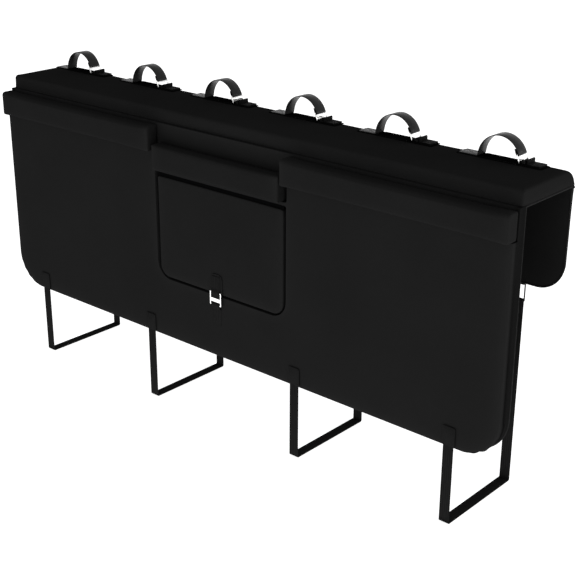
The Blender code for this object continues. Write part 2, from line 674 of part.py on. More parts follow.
def build_under_straps(parts, webbing, plastic):
    """The straps that pass below the tailgate, from the front panel to the back flap."""
    half_webbing = UNDER_WEBBING_THICKNESS / 2
    wrap = wrap_radius(ADJUSTER_BAR, ADJUSTER_PLATE, UNDER_WEBBING_THICKNESS)
    front_y = FRONT_FACE_Y - SEAM_GAP - half_webbing
    adjuster_y = FLAP_OUTER_Y + ADJUSTER_STANDOFF
    bottom_z = -FRONT_DROP - UNDER_LOOP_DROP
    upper_bar_z = -FLAP_DROP - ADJUSTER_BELOW_FLAP
    lower_bar_z = upper_bar_z - ADJUSTER_BAR_SPACING
    front_end_z = -FRONT_DROP + FRONT_END_LENGTH
    strap_path = fillet_path(
        [
            (front_y, front_end_z),
            (front_y, bottom_z),
            (adjuster_y + wrap, bottom_z),
            (adjuster_y + wrap, lower_bar_z + wrap),
            (adjuster_y - wrap, lower_bar_z + wrap),
            (adjuster_y - wrap, lower_bar_z - ADJUSTER_TAIL),
        ],
        [UNDER_FOLD_RADIUS, UNDER_FOLD_RADIUS, wrap * 0.999, wrap * 0.999],
        WRAP_STEPS,
    )
    on_flap_y = FLAP_OUTER_Y + SEAM_GAP + half_webbing
    tab_path = fillet_path(
        [
            (on_flap_y, -FLAP_DROP + REAR_TAB_LENGTH),
            (on_flap_y, -FLAP_DROP + wrap),
            (adjuster_y - wrap, upper_bar_z + wrap),
            (adjuster_y - wrap, upper_bar_z - wrap),
            (adjuster_y + wrap, upper_bar_z - wrap),
            (adjuster_y + wrap, upper_bar_z + REAR_TAB_RETURN),
        ],
        [half_webbing, half_webbing, wrap * 0.999, wrap * 0.999],
        WRAP_STEPS,
    )
    half = UNDER_WEBBING_WIDTH / 2 + ADJUSTER_SIDE_SPACE + ADJUSTER_LEG
    inner = half - ADJUSTER_LEG
    edge_low = lower_bar_z - ADJUSTER_BAR / 2
    edge_high = upper_bar_z + ADJUSTER_BAR / 2
    frame = [
        rounded_rectangle(-half, edge_low, half, edge_high, ADJUSTER_BAR / 2, ADJUSTER_BAR / 2),
        rounded_rectangle(-inner, edge_low + ADJUSTER_BAR, inner, edge_high - ADJUSTER_BAR, 0.0, 0.0),
    ]
    patch_y = FRONT_FACE_Y - 2 * SEAM_GAP - UNDER_WEBBING_THICKNESS - FRONT_PATCH_THICKNESS / 2
    patch = rounded_rectangle(
        -FRONT_PATCH_WIDTH / 2, -FRONT_DROP + PANEL_EDGE_ROUND,
        FRONT_PATCH_WIDTH / 2, front_end_z + FRONT_PATCH_HEM,
        0.0, FRONT_PATCH_HEM,
    )
    for index, strap_x in enumerate((-OUTER_STRAP_X, -INNER_STRAP_X, INNER_STRAP_X, OUTER_STRAP_X)):
        number = index + 1
        ribbon(
            f"under_strap_{number}", strap_path, UNDER_WEBBING_WIDTH, UNDER_WEBBING_THICKNESS,
            FACING_X, (strap_x, 0, 0), parts, webbing,
        )
        ribbon(
            f"rear_tab_{number}", tab_path, UNDER_WEBBING_WIDTH, UNDER_WEBBING_THICKNESS,
            FACING_X, (strap_x, 0, 0), parts, webbing,
        )
        place = (strap_x, adjuster_y, 0)
        flat_outline(f"strap_adjuster_{number}", frame, ADJUSTER_PLATE, FACING_Y, place, parts, plastic)
        place = (strap_x, patch_y, 0)
        flat_outline(f"front_patch_{number}", [patch], FRONT_PATCH_THICKNESS, FACING_Y, place, parts, webbing)


def build():
    """Build the whole pad."""
    clear_scene()
    parts = make_collection("tailgate_pad")
    cutters = make_collection("cutters")
    fabric = cover_fabric()
    webbing = strap_webbing()
    tape = base_tape()
    steel = plated_steel()
    build_front_panel(parts, cutters, fabric)
    build_top_panel(parts, fabric)
    build_back_flap(parts, fabric)
    build_bolsters(parts, fabric)
    build_window_cover(parts, fabric, tape)
    build_closure(parts, webbing, steel)
    build_tube_straps(parts, cutters, webbing, tape, steel)
    build_under_straps(parts, webbing, black_plastic())


build()
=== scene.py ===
"""Looks of a padded bicycle cover for a pickup tailgate.

Every length is in metres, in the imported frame: +Z up, +X to the right of the front
panel, +Y into the truck's bed, and the origin on the seat under the top panel.
"""

import json
import logging
import math
from contextlib import contextmanager
from dataclasses import dataclass, field
from enum import Enum
from typing import Callable, Dict, Iterator, List, Optional, Sequence, Tuple, Union

import bmesh
import bpy
from mathutils import Matrix, Vector
from mathutils.kdtree import KDTree

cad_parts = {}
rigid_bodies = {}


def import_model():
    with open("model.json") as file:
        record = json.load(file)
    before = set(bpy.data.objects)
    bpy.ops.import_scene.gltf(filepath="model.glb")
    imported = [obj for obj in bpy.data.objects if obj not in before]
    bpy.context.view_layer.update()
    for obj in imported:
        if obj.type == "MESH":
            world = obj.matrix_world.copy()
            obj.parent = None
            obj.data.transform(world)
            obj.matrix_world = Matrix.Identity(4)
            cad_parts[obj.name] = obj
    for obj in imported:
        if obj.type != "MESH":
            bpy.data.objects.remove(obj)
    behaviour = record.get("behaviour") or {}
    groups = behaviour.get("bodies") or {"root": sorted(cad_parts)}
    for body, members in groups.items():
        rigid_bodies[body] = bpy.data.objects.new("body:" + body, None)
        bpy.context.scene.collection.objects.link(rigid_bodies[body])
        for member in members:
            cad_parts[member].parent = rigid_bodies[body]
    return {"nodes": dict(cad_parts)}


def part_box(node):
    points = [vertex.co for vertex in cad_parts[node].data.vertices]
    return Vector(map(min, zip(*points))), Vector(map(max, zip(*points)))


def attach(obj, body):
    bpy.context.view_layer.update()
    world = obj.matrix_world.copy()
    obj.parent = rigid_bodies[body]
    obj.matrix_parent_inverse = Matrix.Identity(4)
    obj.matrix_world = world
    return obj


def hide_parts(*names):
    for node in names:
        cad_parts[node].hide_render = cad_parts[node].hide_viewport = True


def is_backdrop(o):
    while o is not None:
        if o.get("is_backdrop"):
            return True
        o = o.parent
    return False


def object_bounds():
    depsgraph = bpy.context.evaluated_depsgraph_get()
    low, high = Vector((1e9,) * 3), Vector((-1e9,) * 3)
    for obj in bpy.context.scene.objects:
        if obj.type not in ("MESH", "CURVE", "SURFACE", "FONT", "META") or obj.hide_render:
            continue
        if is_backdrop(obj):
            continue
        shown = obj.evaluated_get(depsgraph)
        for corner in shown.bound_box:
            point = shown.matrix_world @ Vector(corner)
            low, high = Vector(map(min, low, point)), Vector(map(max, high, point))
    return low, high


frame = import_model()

LOG = logging.getLogger("tailgate_cover")

Object = bpy.types.Object
Material = bpy.types.Material
Socket = bpy.types.NodeSocket
Value = Union[Socket, float, Tuple[float, ...]]
Test = Callable[[object], bool]
Run = Tuple[Vector, Vector, Vector]

ROOT = "root"
SEAM_GAP = 0.0003
SEAM_ANGLE = math.radians(40)
SMOOTH_ANGLE = math.radians(50)
FLAT_ANGLE = math.radians(12)
MERGE_DISTANCE = 0.00001
NEAR = MERGE_DISTANCE * 10

# Two bends that share a straight part each take a little less than half of it.
TIGHT = 0.999

X, Y, Z = range(3)


class Element(Enum):
    """What an edit-mode pick selects."""

    VERT = "VERT"
    EDGE = "EDGE"
    FACE = "FACE"


class Slot(Enum):
    """The record's material slots."""

    FABRIC = "cover_fabric"
    WEBBING = "strap_webbing"
    TAPE = "base_tape"
    STEEL = "plated_steel"
    PLASTIC = "black_plastic"


class Facing(Enum):
    """The plane in which webbing is bent; its width runs across that plane."""

    ALONG_PAD = (Vector((1, 0, 0)), Vector((0, 0, 1)), Vector((0, 1, 0)))
    ACROSS_PAD = (Vector((0, 1, 0)), Vector((0, 0, 1)), Vector((1, 0, 0)))


# Modelling by hand


def deselect_all() -> None:
    """Leave nothing selected."""
    bpy.ops.object.select_all(action="DESELECT")


def activate(piece: Object) -> None:
    """Make a piece the only one selected, and the active one.

    Args:
        piece: The piece to work on.
    """
    deselect_all()
    piece.select_set(True)
    bpy.context.view_layer.objects.active = piece


@contextmanager
def editing(piece: Object, element: Element = Element.EDGE) -> Iterator[None]:
    """Work on a piece in edit mode, with nothing selected at first.

    Args:
        piece: The piece to edit.
        element: The select mode.
    """
    activate(piece)
    bpy.ops.object.mode_set(mode="EDIT")
    bpy.ops.mesh.select_mode(type=element.value)
    bpy.ops.mesh.select_all(action="DESELECT")
    try:
        yield
    finally:
        bpy.ops.object.mode_set(mode="OBJECT")


def pick(piece: Object, element: Element, wanted: Test) -> int:
    """Select the elements that a test wants, in edit mode.

    Args:
        piece: The piece in edit mode.
        element: Vertices, edges or faces.
        wanted: The test on each element.

    Returns:
        How many were selected.
    """
    bpy.ops.mesh.select_all(action="DESELECT")
    shape = bmesh.from_edit_mesh(piece.data)
    found = {Element.VERT: shape.verts, Element.EDGE: shape.edges, Element.FACE: shape.faces}[element]
    chosen = [item for item in found if wanted(item)]
    for item in chosen:
        item.select_set(True)
    shape.select_flush_mode()
    bmesh.update_edit_mesh(piece.data)
    return len(chosen)


def middle(edge: bmesh.types.BMEdge) -> Vector:
    """The middle of an edge."""
    return (edge.verts[0].co + edge.verts[1].co) / 2


def runs_along(edge: bmesh.types.BMEdge, axis: int) -> bool:
    """Whether an edge is parallel to an axis."""
    span = edge.verts[1].co - edge.verts[0].co
    return span.length > 0 and abs(span[axis]) > 0.999 * span.length


def is_sharp(edge: bmesh.types.BMEdge) -> bool:
    """Whether the faces at an edge meet at more than the seam angle."""
    return len(edge.link_faces) == 2 and edge.calc_face_angle(0.0) > SEAM_ANGLE


def on_flat(point: bmesh.types.BMVert) -> bool:
    """Whether the faces round a point are nearly level with one another."""
    return all(edge.calc_face_angle(0.0) < FLAT_ANGLE for edge in point.link_edges)


def long_edge(axis: int, place: float, height: float) -> Test:
    """A test for the edge that runs along X at a place and height.

    Args:
        axis: The axis that the place is on.
        place: Where the edge lies on that axis.
        height: How high it lies.

    Returns:
        The test.
    """
    return lambda edge: (
        runs_along(edge, X)
        and abs(middle(edge)[axis] - place) < MERGE_DISTANCE
        and abs(middle(edge).z - height) < MERGE_DISTANCE
    )


def settle(piece: Object) -> None:
    """Put a piece's place into its mesh."""
    activate(piece)
    bpy.ops.object.transform_apply(location=True, rotation=True, scale=True)


def block(name: str, low: Sequence[float], high: Sequence[float]) -> Object:
    """Add a box between two corners.

    Args:
        name: The piece's name.
        low: Its lowest corner.
        high: Its highest corner.

    Returns:
        The box, with its place in its mesh.
    """
    deselect_all()
    size = Vector(high) - Vector(low)
    place = (Vector(high) + Vector(low)) / 2
    bpy.ops.mesh.primitive_cube_add(size=1.0, location=place, scale=size)
    piece = bpy.context.object
    piece.name = name
    piece.data.name = name
    settle(piece)
    return piece


def soften(piece: Object, wanted: Test, width: float, segments: int) -> None:
    """Round the edges that a test wants.

    Args:
        piece: The piece.
        wanted: The test on each edge.
        width: The radius of the rounding.
        segments: How many faces it takes.
    """
    with editing(piece):
        if pick(piece, Element.EDGE, wanted):
            bpy.ops.mesh.bevel(
                offset=width, segments=segments, affect="EDGES", clamp_overlap=False, loop_slide=False
            )


def slice_at(piece: Object, axis: int, places: Sequence[float]) -> None:
    """Cut a piece's faces along planes across an axis.

    Args:
        piece: The piece.
        axis: The axis that the planes stand across.
        places: Where each plane stands on it.
    """
    normal = [0.0, 0.0, 0.0]
    normal[axis] = 1.0
    with editing(piece):
        for place in places:
            point = [0.0, 0.0, 0.0]
            point[axis] = place
            bpy.ops.mesh.select_all(action="SELECT")
            bpy.ops.mesh.bisect(plane_co=point, plane_no=normal)


def even_places(low: float, high: float, spacing: float) -> List[float]:
    """Evenly spaced places inside a span.

    Args:
        low: Where the span starts.
        high: Where it ends.
        spacing: About how far apart the places are.

    Returns:
        The places, without the two ends.
    """
    count = max(2, round((high - low) / spacing))
    return [low + (high - low) * step / count for step in range(1, count)]


def carve(piece: Object, cutter: Object) -> None:
    """Take a cutter's space out of a piece and remove the cutter.

    Args:
        piece: The piece to cut.
        cutter: The closed shape to take away.
    """
    activate(piece)
    tool = piece.modifiers.new("carve", "BOOLEAN")
    tool.operation = "DIFFERENCE"
    tool.object = cutter
    bpy.ops.object.modifier_apply(modifier=tool.name)
    bpy.data.objects.remove(cutter, do_unlink=True)


def copy_of(node: str, name: str) -> Object:
    """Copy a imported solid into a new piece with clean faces.

    Args:
        node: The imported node.
        name: The new piece's name.

    Returns:
        The piece, its loose triangles merged into whole faces.
    """
    source = frame["nodes"][node]
    piece = bpy.data.objects.new(name, source.data.copy())
    piece.data.name = name
    piece.data.materials.clear()
    bpy.context.scene.collection.objects.link(piece)
    with editing(piece, Element.FACE):
        bpy.ops.mesh.select_all(action="SELECT")
        bpy.ops.mesh.remove_doubles(threshold=MERGE_DISTANCE)
        bpy.ops.mesh.dissolve_limited(angle_limit=math.radians(1))
    return piece


def unwrap_flat(piece: Object) -> None:
    """Give a piece a UV map in metres, projected along the axis that each face looks along.

    Args:
        piece: The piece to map.
    """
    if not piece.data.uv_layers:
        piece.data.uv_layers.new(name="UVMap")
    with editing(piece, Element.FACE):
        bpy.ops.mesh.select_all(action="SELECT")
        bpy.ops.uv.cube_project(cube_size=1.0, correct_aspect=False)


def shade(piece: Object, angle: float = SMOOTH_ANGLE) -> None:
    """Shade a piece smooth, apart from its sharper edges."""
    activate(piece)
    bpy.ops.object.shade_smooth_by_angle(angle=angle)


def subdivide(piece: Object) -> None:
    """Smooth a piece with one level of subdivision, applied.

    Args:
        piece: The piece to smooth.
    """
    activate(piece)
    tool = piece.modifiers.new("smooth", "SUBSURF")
    tool.levels = 1
    tool.render_levels = 1
    bpy.ops.object.modifier_apply(modifier=tool.name)


def round_cord(piece: Object, radius: float) -> None:
    """Turn a chain of edges into a round fabric-covered cord.

    Args:
        piece: A mesh that has only edges.
        radius: The cord's radius.
    """
    activate(piece)
    bpy.ops.object.convert(target="CURVE")
    piece.data.bevel_depth = radius
    piece.data.bevel_resolution = 2
    piece.data.use_fill_caps = True
    bpy.ops.object.convert(target="MESH")
    with editing(piece, Element.VERT):
        bpy.ops.mesh.select_all(action="SELECT")
        bpy.ops.mesh.remove_doubles(threshold=MERGE_DISTANCE)
        bpy.ops.mesh.normals_make_consistent(inside=False)


def fillet_path(corners: Sequence[Tuple[float, float]], radii: Sequence[float], steps: int) -> List[Vector]:
    """Round the inner corners of an open flat path.

    Args:
        corners: The path's corners.
        radii: A radius for each inner corner.
        steps: How many steps each rounding takes.

    Returns:
        The path's points.
    """
    points = [Vector(corners[0])]
    for index, radius in enumerate(radii):
        corner = Vector(corners[index + 1])
        back = (Vector(corners[index]) - corner).normalized()
        ahead = (Vector(corners[index + 2]) - corner).normalized()
        half_angle = back.angle(ahead) / 2
        setback = radius / math.tan(half_angle)
        center = corner + (back + ahead).normalized() * (radius / math.sin(half_angle))
        start = corner + back * setback - center
        sweep = start.angle_signed(corner + ahead * setback - center)
        points += [center + turned(start, -sweep * step / steps) for step in range(steps + 1)]
    points.append(Vector(corners[-1]))
    return spaced(points)


def turned(vector: Vector, angle: float) -> Vector:
    """Turn a flat vector anticlockwise."""
    cosine, sine = math.cos(angle), math.sin(angle)
    return Vector((vector.x * cosine - vector.y * sine, vector.x * sine + vector.y * cosine))


def spaced(points: Sequence[Vector]) -> List[Vector]:
    """Leave out points that fall on the one before.

    Args:
        points: The path's points.

    Returns:
        The points that are kept.
    """
    kept = [points[0]]
    for point in points[1:]:
        if (point - kept[-1]).length > MERGE_DISTANCE:
            kept.append(point)
    return kept


# Finishes


class Graph:
    """A material's node tree, with short calls to add and join nodes."""

    def __init__(self, name: str) -> None:
        """Start a material with its Principled shader.

        Args:
            name: The material's name.
        """
        self.material = bpy.data.materials.new(name)
        self.material.use_nodes = True
        self.tree = self.material.node_tree
        self.shader = self.tree.nodes["Principled BSDF"]

    def add(self, kind: str, inputs: Dict[Union[str, int], Value], **settings: object) -> bpy.types.Node:
        """Add a node.

        Args:
            kind: The node's type, without its Shader Node prefix.
            inputs: A value or a socket for each named or numbered input.
            **settings: The node's own properties.

        Returns:
            The node.
        """
        node = self.tree.nodes.new("ShaderNode" + kind)
        for key, value in settings.items():
            setattr(node, key, value)
        for key, value in inputs.items():
            self.plug(node.inputs[key], value)
        return node

    def plug(self, socket: Socket, value: Value) -> None:
        """Set an input, or link it where the value is a socket.

        Args:
            socket: The input.
            value: A socket to link, or a value to set.
        """
        if isinstance(value, bpy.types.NodeSocket):
            self.tree.links.new(value, socket)
        else:
            socket.default_value = value

    def math(self, operation: str, *values: Value) -> Socket:
        """Add a Math node and return its output."""
        return self.add("Math", dict(enumerate(values)), operation=operation).outputs[0]

    def noise(self, vector: Value, scale: float, detail: float = 2.0) -> Socket:
        """Add a noise texture and return its value."""
        inputs = {"Vector": vector, "Scale": scale, "Detail": detail, "Roughness": 0.55}
        return self.add("TexNoise", inputs).outputs[0]

    def span(self, value: Value, low: float, high: float, start: float = 0.3, end: float = 0.7) -> Socket:
        """Map a value's range from start to end onto low to high."""
        inputs = {0: value, 1: start, 2: end, 3: low, 4: high}
        return self.add("MapRange", inputs).outputs[0]

    def tone(self, color: Tuple[float, float, float], factor: Value) -> Socket:
        """Multiply a colour by a varying factor.

        Args:
            color: The colour.
            factor: What it is multiplied by.

        Returns:
            The varying colour.
        """
        base = self.add("RGB", {})
        base.outputs[0].default_value = (*color, 1.0)
        return self.add("VectorMath", {0: base.outputs[0], "Scale": factor}, operation="SCALE").outputs[0]

    def bump(self, height: Value, distance: float, strength: float, under: Optional[Socket] = None) -> Socket:
        """Add a bump node and return its normal.

        Args:
            height: The height of the relief.
            distance: How deep a height of one is.
            strength: How much of it shows.
            under: The normal that it adds to.

        Returns:
            The bumped normal.
        """
        inputs = {"Height": height, "Distance": distance, "Strength": strength}
        if under is not None:
            inputs["Normal"] = under
        return self.add("Bump", inputs).outputs[0]

    def coordinates(self, kind: str) -> Socket:
        """The object's own coordinates, or its UV map."""
        return self.add("TexCoord", {}).outputs[kind]

    def finish(
        self, color: Value, roughness: Value, normal: Optional[Socket] = None, **extra: float
    ) -> Material:
        """Join colour, roughness and normal to the shader.

        Args:
            color: The base colour.
            roughness: The roughness.
            normal: The bumped normal, if there is one.
            **extra: Other shader inputs, with underscores for spaces.

        Returns:
            The material.
        """
        self.plug(self.shader.inputs["Base Color"], color)
        self.plug(self.shader.inputs["Roughness"], roughness)
        if normal is not None:
            self.plug(self.shader.inputs["Normal"], normal)
        for key, value in extra.items():
            self.plug(self.shader.inputs[key.replace("_", " ")], value)
        return self.material


@dataclass(frozen=True)
class CoverFabric:
    """Coated polyester in a plain weave, matt, a little paler where it is worn at its seams, with painted
    shade that darkens the front panel's recessed gusset.
    """

    name: str = "cover_fabric_look"
    color: Tuple[float, float, float] = (0.0110, 0.0110, 0.0110)
    yarn: float = 0.0009
    relief: float = 0.00010
    strength: float = 0.35
    specular: float = 0.0
    wear: float = 0.20
    # How much painted shade darkens the fabric in the front panel's recessed gusset.
    gusset_painted_shade: float = 0.46
    fibre_scale: float = 900.0
    cloud_scale: float = 5.0
    speckle_scale: float = 240.0

    def make(self) -> Material:
        """Build the material.

        Returns:
            The material.
        """
        graph = Graph(self.name)
        place = graph.coordinates("Object")
        split = graph.add("SeparateXYZ", {0: graph.coordinates("UV")})
        turns = 2 * math.pi / self.yarn
        warp = graph.math("SINE", graph.math("MULTIPLY", split.outputs[0], turns))
        weft = graph.math("SINE", graph.math("MULTIPLY", split.outputs[1], turns))
        weave = graph.math("MULTIPLY", warp, weft)
        fibre = graph.noise(place, self.fibre_scale, 1.0)
        broad = graph.noise(place, self.cloud_scale, 3.0)
        speckle = graph.noise(place, self.speckle_scale, 2.0)
        edge = graph.add("Attribute", {}, attribute_name="edge", attribute_type="GEOMETRY").outputs["Fac"]
        shift = graph.math("ADD", graph.span(broad, 0.94, 1.06), graph.span(speckle, -0.05, 0.05))
        worn = graph.math("MULTIPLY_ADD", edge, self.wear, shift)
        # Painted shade: the fabric is darkened where the stored gusset mask says, standing in for the shade
        # in the recessed gusset.
        gusset_painted_shade = graph.add("Attribute", {}, attribute_name="gusset_painted_shade", attribute_type="GEOMETRY").outputs["Fac"]
        worn = graph.math("MULTIPLY", worn, graph.math("MULTIPLY_ADD", gusset_painted_shade, -self.gusset_painted_shade, 1.0))
        rough = graph.math("ADD", graph.span(speckle, 0.66, 0.78), graph.math("MULTIPLY", edge, -0.06))
        height = graph.math("MULTIPLY_ADD", fibre, 0.6, weave)
        return graph.finish(
            graph.tone(self.color, worn), rough, graph.bump(height, self.relief, self.strength),
            Specular_IOR_Level=self.specular,
        )


@dataclass(frozen=True)
class Webbing:
    """Woven strap with ribs along its length, on a UV map of width and length."""

    name: str
    color: Tuple[float, float, float]
    rough: float
    specular: float
    rib: float = 0.0026
    pick: float = 0.0016
    relief: float = 0.00025
    rib_tone: float = 0.18
    streak_scale: Tuple[float, float, float] = (900.0, 60.0, 1.0)

    def make(self) -> Material:
        """Build the material.

        Returns:
            The material.
        """
        graph = Graph(self.name)
        coordinates = graph.coordinates("UV")
        split = graph.add("SeparateXYZ", {0: coordinates})
        rib = graph.math("SINE", graph.math("MULTIPLY", split.outputs[0], 2 * math.pi / self.rib))
        pick_wave = graph.math("SINE", graph.math("MULTIPLY", split.outputs[1], 2 * math.pi / self.pick))
        height = graph.math("MULTIPLY_ADD", graph.math("MULTIPLY", rib, pick_wave), 0.5, rib)
        stretched = graph.add("Mapping", {"Vector": coordinates, "Scale": self.streak_scale}).outputs[0]
        streak = graph.noise(stretched, 1.0, 2.0)
        height = graph.math("MULTIPLY_ADD", streak, 0.7, height)
        factor = graph.math("ADD", graph.span(streak, 0.8, 1.2), graph.math("MULTIPLY", rib, self.rib_tone))
        return graph.finish(
            graph.tone(self.color, factor), graph.span(streak, self.rough - 0.06, self.rough + 0.08),
            graph.bump(height, self.relief, 0.6), Specular_IOR_Level=self.specular,
        )


@dataclass(frozen=True)
class BaseTape:
    """Matt napped tape, almost black."""

    name: str = "base_tape_look"
    color: Tuple[float, float, float] = (0.0022, 0.0022, 0.0023)
    loop_scale: float = 1100.0
    nap_scale: float = 1600.0

    def make(self) -> Material:
        """Build the material.

        Returns:
            The material.
        """
        graph = Graph(self.name)
        place = graph.coordinates("Object")
        loops = graph.add("TexVoronoi", {"Vector": place, "Scale": self.loop_scale}).outputs[0]
        nap = graph.noise(place, self.nap_scale)
        height = graph.math("ADD", loops, nap)
        return graph.finish(
            graph.tone(self.color, graph.span(nap, 0.7, 1.4)), graph.span(nap, 0.86, 0.97),
            graph.bump(height, 0.0002, 0.5), Specular_IOR_Level=0.0,
        )


@dataclass(frozen=True)
class PlatedSteel:
    """Bright plated steel with fine scratches and faint clouding."""

    name: str = "plated_steel_look"
    color: Tuple[float, float, float] = (0.66, 0.66, 0.65)
    scratch_scale: Tuple[float, float, float] = (4000.0, 300.0, 300.0)
    cloud_scale: float = 180.0

    def make(self) -> Material:
        """Build the material.

        Returns:
            The material.
        """
        graph = Graph(self.name)
        place = graph.coordinates("Object")
        long_way = graph.add("Mapping", {"Vector": place, "Scale": self.scratch_scale}).outputs[0]
        scratch = graph.noise(long_way, 1.0, 3.0)
        cloud = graph.noise(place, self.cloud_scale, 3.0)
        return graph.finish(
            graph.tone(self.color, graph.span(cloud, 0.9, 1.05)), graph.span(cloud, 0.16, 0.30),
            graph.bump(scratch, 0.00002, 0.4), Metallic=1.0,
        )


@dataclass(frozen=True)
class MouldedPlastic:
    """Black moulded plastic with a fine spark grain."""

    name: str = "black_plastic_look"
    color: Tuple[float, float, float] = (0.010, 0.010, 0.011)
    grain_scale: float = 2200.0
    cloud_scale: float = 90.0

    def make(self) -> Material:
        """Build the material.

        Returns:
            The material.
        """
        graph = Graph(self.name)
        place = graph.coordinates("Object")
        grain = graph.noise(place, self.grain_scale)
        cloud = graph.noise(place, self.cloud_scale)
        return graph.finish(
            graph.tone(self.color, graph.span(cloud, 0.9, 1.15)), graph.span(grain, 0.38, 0.52),
            graph.bump(grain, 0.00008, 0.5), Specular_IOR_Level=0.35,
        )


@dataclass(frozen=True)
class SewingThread:
    """Black bonded thread with its ply twisted round it."""

    name: str = "sewing_thread_look"
    color: Tuple[float, float, float] = (0.0060, 0.0060, 0.0060)
    ply_scale: float = 700.0

    def make(self) -> Material:
        """Build the material.

        Returns:
            The material.
        """
        graph = Graph(self.name)
        place = graph.coordinates("Object")
        inputs = {"Vector": place, "Scale": self.ply_scale, "Distortion": 2.0}
        ply = graph.add("TexWave", inputs).outputs["Fac"]
        return graph.finish(
            graph.tone(self.color, graph.span(ply, 0.8, 1.3, 0.0, 1.0)), graph.span(ply, 0.45, 0.6, 0.0, 1.0),
            graph.bump(ply, 0.0001, 0.4), Specular_IOR_Level=0.02,
        )


@dataclass
class Finishes:
    """The finishes that the pieces share."""

    fabric: Material = field(default_factory=lambda: CoverFabric().make())
    welt: Material = field(
        default_factory=lambda: CoverFabric(
            name="welt_look", color=(0.0098, 0.0098, 0.0098), relief=0.00006, specular=0.03, wear=0.0
        ).make()
    )
    # The satin webbing's colour is paler than the matt webbing's. Part of this is the webbing's own tone, and
    # part is painted reflection standing in for the sheen of the arched straps.
    satin: Material = field(
        default_factory=lambda: Webbing(
            "satin_webbing_look", (0.019, 0.019, 0.019), rough=0.22, specular=0.05, relief=0.00005
        ).make()
    )
    matt: Material = field(
        default_factory=lambda: Webbing(
            "matt_webbing_look", (0.0108, 0.0108, 0.0108), rough=0.62, specular=0.0, rib=0.0052
        ).make()
    )
    black: Material = field(
        default_factory=lambda: Webbing(
            "black_webbing_look", (0.0022, 0.0022, 0.0022), rough=0.60, specular=0.03
        ).make()
    )
    tape: Material = field(default_factory=lambda: BaseTape().make())
    steel: Material = field(default_factory=lambda: PlatedSteel().make())
    plastic: Material = field(default_factory=lambda: MouldedPlastic().make())
    thread: Material = field(default_factory=lambda: SewingThread().make())


def dress(piece: Object, look: Material, slot: Slot, *nodes: str) -> Object:
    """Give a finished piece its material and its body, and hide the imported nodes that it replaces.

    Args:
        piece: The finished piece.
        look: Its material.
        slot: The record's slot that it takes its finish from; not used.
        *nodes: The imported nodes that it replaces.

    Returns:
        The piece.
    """
    piece.data.materials.clear()
    piece.data.materials.append(look)
    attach(piece, ROOT)
    if nodes:
        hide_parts(*nodes)
    LOG.info("made %s: %d faces", piece.name, len(piece.data.polygons))
    return piece


# Sewing


@dataclass
class Seamstress:
    """Sews runs of stitches: one stitch is modelled once and copied along each run."""

    look: Material
    pitch: float = 0.0034
    length: float = 0.0027
    width: float = 0.0007
    slant: float = math.radians(7)

    def stitch(self) -> Object:
        """Model one stitch, a flattened bead that lies along X.

        Returns:
            The bead.
        """
        deselect_all()
        bpy.ops.mesh.primitive_uv_sphere_add(
            segments=6, ring_count=4, radius=0.5, scale=(self.length, self.width, self.width * 0.7)
        )
        bead = bpy.context.object
        settle(bead)
        return bead

    def sew(self, name: str, runs: Sequence[Run]) -> Object:
        """Sew straight runs of stitches.

        Args:
            name: The piece's name.
            runs: The start, end and surface normal of each run.

        Returns:
            One piece with every stitch.
        """
        bead = self.stitch()
        shape = bmesh.new()
        for start, end, normal in runs:
            span = end - start
            count = max(1, round(span.length / self.pitch))
            ahead = span.normalized()
            side = normal.cross(ahead).normalized()
            turn = Matrix((ahead, side, normal)).transposed().to_4x4() @ Matrix.Rotation(self.slant, 4, "Z")
            for index in range(count):
                known = len(shape.verts)
                shape.from_mesh(bead.data)
                shape.verts.ensure_lookup_table()
                place = start + span * (index + 0.5) / count
                bmesh.ops.transform(shape, matrix=Matrix.Translation(place) @ turn, verts=shape.verts[known:])
        bpy.data.objects.remove(bead, do_unlink=True)
        mesh = bpy.data.meshes.new(name)
        shape.to_mesh(mesh)
        shape.free()
        mesh.shade_smooth()
        piece = bpy.data.objects.new(name, mesh)
        bpy.context.scene.collection.objects.link(piece)
        return dress(piece, self.look, Slot.WEBBING)


def box_runs(center: Vector, across: Vector, along: Vector, normal: Vector, crossed: bool) -> List[Run]:
    """The runs of a sewn box, with a cross in it where asked.

    Args:
        center: The box's middle, on the surface.
        across: Half of its width, as a vector.
        along: Half of its length, as a vector.
        normal: The surface's normal.
        crossed: Whether a cross joins its corners.

    Returns:
        The runs.
    """
    corners = [
        center + across + along, center - across + along,
        center - across - along, center + across - along,
    ]
    runs = [(corners[index], corners[(index + 1) % 4], normal) for index in range(4)]
    if crossed:
        runs += [(corners[0], corners[2], normal), (corners[1], corners[3], normal)]
    return runs


# Padded sections


